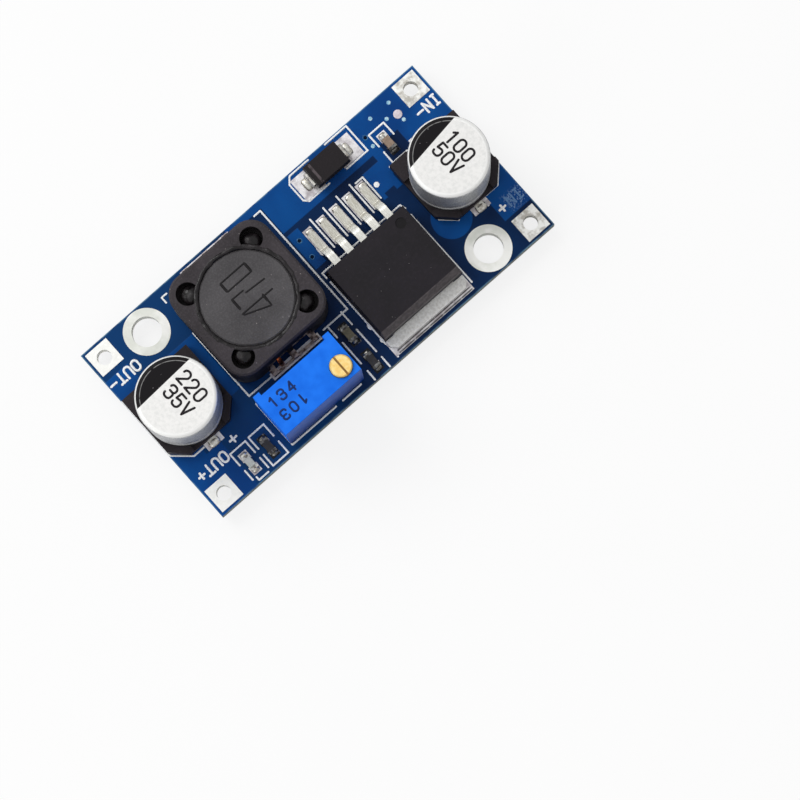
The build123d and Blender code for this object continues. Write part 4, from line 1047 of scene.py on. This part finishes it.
class MODULE_OT_inductor(Step, bpy.types.Operator):
    """Finish the shielded inductor and engrave its value"""

    bl_idname = "module.inductor"
    bl_label = "Inductor"

    def execute(self, context):
        dress("inductor_shield", shield_finish())
        dress("inductor_core", ferrite_finish("drum_ferrite", (66, 64, 66), (90, 88, 90)))
        dress("inductor_winding", metal_finish("enamelled_copper", (150, 70, 36), (196, 104, 60), 0.3))
        dress("inductor_terminals", tinned_finish("clip_tin", (190, 175, 169), (78, 62, 58), 0.5, 0.4, 0.6))
        dark = moulding_finish("engraved_line", (20, 18, 20), (34, 32, 34))
        engraved = line_recipe(dark)
        mesh = stroke_mesh("inductor_value", DRUM_VALUE, top_of("inductor_core"))
        engraved.grow(mesh, "ferrite", {"Width": 0.17 * MM, "Thickness": 0.02 * MM})
        mesh = stroke_mesh("inductor_value_bold", DRUM_VALUE_BOLD, top_of("inductor_core"))
        engraved.grow(mesh, "ferrite", {"Width": 0.27 * MM, "Thickness": 0.022 * MM})
        self.glue()
        return {"FINISHED"}

    def glue(self):
        """Black resin in the groove round the drum and in the four notches."""
        black = Finish("black_glue", specular=0.35)
        tone = black.cloud(0.7, 4.0).fade(0.3, 0.75)
        black.set(base_color=black.mix(tone, shade(9, 7, 9), shade(34, 29, 32)))
        black.set(roughness=tone * 0.3 + 0.22)
        black.bump(black.cloud(0.3, 3.0), 0.05, 0.7)
        centre = middle("inductor_core")
        roof = top_of("inductor_shield")
        corners = (-NOTCH_REACH, NOTCH_REACH)
        spots = [(x, y, -BLOB_DROP) for x in corners for y in corners]
        mesh = point_mesh("inductor_glue", spots, half=[BLOB_HALF] * len(spots))
        piece = glue_recipe(black).grow(mesh, "epoxy_mould", GLUE_RING)
        piece.data.transform(Matrix.Translation(Vector((centre.x, centre.y, roof - GLUE_DEPTH)) * MM))


class MODULE_OT_regulator(Step, bpy.types.Operator):
    """Finish the regulator and the diode"""

    bl_idname = "module.regulator"
    bl_label = "Regulator and diode"

    def execute(self, context):
        dress("regulator_body", regulator_finish())
        dress("regulator_tab", metal_finish("tab_tin", (212, 211, 208), (240, 240, 238), 0.42, 0.25, 0.4))
        dress("regulator_leads", lead_finish())
        dress("diode_body", diode_finish())
        dress("diode_leads", tinned_finish("diode_lead_tin", (222, 220, 214), (168, 162, 154), 0.4))
        return {"FINISHED"}


CHIPS = (
    "input_chip_capacitor", "feedback_chip_capacitor", "feedback_resistor", "led_resistor", "led_carrier",
)


class MODULE_OT_chips(Step, bpy.types.Operator):
    """Finish the chip capacitors, chip resistors and the light"""

    bl_idname = "module.chips"
    bl_label = "Chips"

    def execute(self, context):
        # The caps are darkened round the small parts: flux mixed with painted shade and painted dark
        # reflections.
        caps = darken_in_patches(tinned_finish("cap_tin", (222, 222, 218), (110, 104, 98), 0.3), FLUX_AND_SHADE, 0.75)
        for chip in CHIPS:
            dress(f"{chip}_caps", caps)
        dress("input_chip_capacitor", ceramic_finish("tan_ceramic", (132, 112, 96), (158, 136, 118)))
        dress("feedback_chip_capacitor", ceramic_finish("olive_ceramic", (98, 92, 70), (120, 112, 88)))
        glaze = ceramic_finish("resistor_glaze", (26, 24, 28), (44, 42, 46), 0.3)
        dress("feedback_resistor", glaze)
        dress("led_resistor", glaze)
        dress("led_carrier", ceramic_finish("light_carrier", (226, 228, 220), (240, 240, 234), 0.5))
        lens = Finish("light_lens", roughness=0.25, transmission_weight=0.35, ior=1.5)
        tone = lens.cloud(0.6).fade(0.3, 0.7)
        lens.set(base_color=lens.mix(tone, shade(232, 240, 230), shade(252, 254, 250)))
        dress("led_lens", lens)
        return {"FINISHED"}


class MODULE_OT_trimmer(Step, bpy.types.Operator):
    """Finish the multi-turn trimmer and print its value"""

    bl_idname = "module.trimmer"
    bl_label = "Trimmer"

    def execute(self, context):
        dress("trimmer_housing", housing_finish(self.parts))
        dress("trimmer_screw", screw_finish())
        dress("trimmer_seal", moulding_finish("seal_rubber", (24, 24, 26), (38, 38, 40)))
        dress("trimmer_rotor", moulding_finish("rotor_plastic", (226, 222, 208), (240, 236, 224)))
        dress("trimmer_wiper", metal_finish("wiper_spring", (214, 206, 186), (236, 228, 206), 0.25))
        dress("trimmer_element", ceramic_finish("element_ceramic", (232, 230, 222), (246, 244, 238)))
        dress("trimmer_track", ceramic_finish("track_paste", (34, 32, 34), (52, 50, 52), 0.5))
        dress("trimmer_potting", moulding_finish("potting_resin", (36, 90, 190), (52, 108, 208), 0.3, 0.4))
        dress("trimmer_pins", tinned_finish("pin_tin"))
        joints = tinned_finish("joint_solder", (206, 200, 196), (150, 142, 138), 0.7, 0.2, 1.0)
        dress("trimmer_joints", joints)
        navy = ink_finish("trimmer_ink", shade(12, 44, 104), shade(18, 70, 150))
        printed = line_recipe(navy)
        size = {"height": 0.98, "width": 0.62, "pitch": 1.14}
        strokes = letters("134", (-11.1, -6.86), (1, 0), (0, 1), **size)
        strokes += letters("103", (-8.1, -7.52), (-1, 0), (0, -1), **size)
        mesh = stroke_mesh("trimmer_print", strokes, top_of("trimmer_housing"))
        printed.grow(mesh, "trimmer_blue", {"Width": 0.2 * MM, "Thickness": 0.03 * MM})
        return {"FINISHED"}


# Where the regulator's five toes end.
TOES_X = (3.17, 4.88, 6.61, 8.32, 10.04)
TOES_Y = 4.75


class MODULE_OT_solder(Step, bpy.types.Operator):
    """Lay the solder at the surface parts' feet"""

    bl_idname = "module.solder"
    bl_label = "Solder"

    def execute(self, context):
        tin = tinned_finish("solder_tin", (224, 223, 216), (176, 170, 160), 0.4, 0.22, 0.9)
        # The solder is darkened round the small parts: flux mixed with painted shade and painted dark
        # reflections.
        beads = bead_recipe(darken_in_patches(tin, FLUX_AND_SHADE, 0.7))
        spots, halves = [], []

        def lay(x, y, half_x, half_y, height):
            spots.append((x, y, TOP + 0.04))
            halves.append((half_x, half_y, height))

        for x in TOES_X:
            lay(x, TOES_Y, 0.44, 0.36, 0.16)
        for end in ("input", "output"):
            leads = middle(f"{end}_capacitor_leads")
            for side in (-1, 1):
                lay(leads.x, leads.y + side * 4.65, 0.62, 0.45, 0.24)
        for side in (-1, 1):
            diode = middle("diode_leads")
            lay(diode.x + side * 2.62, diode.y, 0.4, 0.7, 0.26)
        for chip in CHIPS:
            centre = middle(f"{chip}_caps")
            for side in (-1, 1):
                lay(centre.x, centre.y + side * 0.92, 0.4, 0.26, 0.34)
        beads.grow(point_mesh("solder_beads", spots, half=halves), "solder", {"Squareness": 0.62})
        return {"FINISHED"}


# The camera's place in millimetres, its turn as an axis times an angle, and its lens.
CAMERA_PLACE = (-20.62, -47.15, 415.67)
CAMERA_TURN = (2.8508, -1.0805, 0.0231)
LENS = 191.71


class MODULE_OT_stage(Step, bpy.types.Operator):
    """Lay the floor, the daylight, the lamps and the camera"""

    bl_idname = "module.stage"
    bl_label = "Stage"

    def execute(self, context):
        look = context.scene.module_stage
        context.scene.view_settings.view_transform = "Standard"
        self.floor(look)
        self.daylight(look)
        self.lamp("key_lamp", (-0.12, 0.42, 0.52), 0.4, look.key)
        self.lamp("side_lamp", (-0.5, -0.1, 0.3), 0.3, look.side)
        self.camera()
        return {"FINISHED"}

    def floor(self, look):
        mesh = bpy.data.meshes.new("floor")
        half = 1.5
        corners = [(-half, -half, 0), (half, -half, 0), (half, half, 0), (-half, half, 0)]
        mesh.from_pydata(corners, [], [(0, 1, 2, 3)])
        floor = bpy.data.objects.new("floor", mesh)
        bpy.context.scene.collection.objects.link(floor)
        paper = Finish("floor_paper", roughness=0.9, specular=0.1)
        tone = paper.cloud(40.0).fade(0.3, 0.7)
        paper.set(base_color=paper.mix(tone, tuple(look.floor), shade(243, 243, 243)))
        seen = paper.node("ShaderNodeLightPath", out="Is Camera Ray")
        glow = paper.node("ShaderNodeEmission", None, {"Color": (1, 1, 1, 1), "Strength": 1.0})
        lift = 0.8
        blend = paper.node("ShaderNodeMixShader", None, {0: seen * lift, 2: glow})
        paper.tree.links.new(paper.shader.outputs[0], blend.socket.node.inputs[1])
        ending = paper.tree.nodes["Material Output"]
        paper.tree.links.new(blend.socket, ending.inputs["Surface"])
        mesh.materials.append(paper.material)
        floor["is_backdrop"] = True

    def daylight(self, look):
        world = bpy.data.worlds.new("daylight")
        world.use_nodes = True
        bpy.context.scene.world = world
        sky = Net(world.node_tree)
        world.node_tree.nodes.clear()
        x, y, z = sky.axes(sky.node("ShaderNodeTexCoord", out="Generated"))
        ring = (y.fade(-0.9, 0.6) * 0.75 + 0.25) * look.horizon
        level = z.most(0.0) * (look.zenith - ring) + ring
        seen = sky.node("ShaderNodeLightPath", out="Is Camera Ray")
        strength = seen + (1 - seen) * level
        glow = sky.node("ShaderNodeBackground", None, {"Color": (1, 1, 1, 1), "Strength": strength})
        sky.node("ShaderNodeOutputWorld", None, {"Surface": glow})

    def lamp(self, name, place, side, share):
        """A square soft lamp, sizes in metres, that adds its share of white to what lies flat."""
        place = Vector(place)
        distance = place.length
        upright = place.z / distance
        data = bpy.data.lights.new(name, "AREA")
        data.shape = "SQUARE"
        data.size = side
        data.energy = share * math.pi ** 2 * distance ** 2 / upright
        lamp = bpy.data.objects.new(name, data)
        lamp.matrix_world = Matrix.Translation(place) @ (-place).to_track_quat("-Z", "Y").to_matrix().to_4x4()
        bpy.context.scene.collection.objects.link(lamp)

    def camera(self):
        """The photograph's view: nearly straight down, with the board's length rising to the right."""
        data = bpy.data.cameras.new("camera")
        data.sensor_width = 36.0
        data.lens = LENS
        camera = bpy.data.objects.new("camera", data)
        turn = Vector(CAMERA_TURN)
        right, down, forward = Matrix.Rotation(turn.length, 3, turn)
        facing = Matrix((right, -down, -forward)).transposed().to_4x4()
        camera.matrix_world = Matrix.Translation(Vector(CAMERA_PLACE) * MM) @ facing
        bpy.context.scene.collection.objects.link(camera)
        bpy.context.scene.camera = camera


STEPS = (
    "stage", "board", "legend", "vias", "capacitors", "inductor", "regulator", "chips", "trimmer", "solder",
)


class MODULE_PT_panel(bpy.types.Panel):
    """Lists the steps and their sizes in the sidebar"""

    bl_idname = "MODULE_PT_panel"
    bl_label = "Step-down module"
    bl_space_type = "VIEW_3D"
    bl_region_type = "UI"
    bl_category = "Module"

    def draw(self, context):
        for group in (context.scene.module_board, context.scene.module_parts, context.scene.module_stage):
            for name in group.__annotations__:
                self.layout.prop(group, name)
        for step in STEPS:
            self.layout.operator(f"module.{step}")


GROUPS = {"module_board": BoardLook, "module_parts": PartLook, "module_stage": StageLook}
OPERATORS = (
    MODULE_OT_stage, MODULE_OT_board, MODULE_OT_legend, MODULE_OT_vias, MODULE_OT_capacitors,
    MODULE_OT_inductor, MODULE_OT_regulator, MODULE_OT_chips, MODULE_OT_trimmer, MODULE_OT_solder,
)


def register():
    for kind in (*GROUPS.values(), *OPERATORS, MODULE_PT_panel):
        bpy.utils.register_class(kind)
    for name, group in GROUPS.items():
        setattr(bpy.types.Scene, name, PointerProperty(type=group))


def unregister():
    for name in GROUPS:
        delattr(bpy.types.Scene, name)
    for kind in reversed((*GROUPS.values(), *OPERATORS, MODULE_PT_panel)):
        bpy.utils.unregister_class(kind)


def main():
    register()
    for step in STEPS:
        if getattr(bpy.ops.module, step)() != {"FINISHED"}:
            raise RuntimeError(f"the step {step} did not finish")
    boxes = {"cad": CAD_BOX, "visual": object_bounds()}
    plain = {name: [list(corner) for corner in box] for name, box in boxes.items()}


if __name__ == "__main__":
    main()
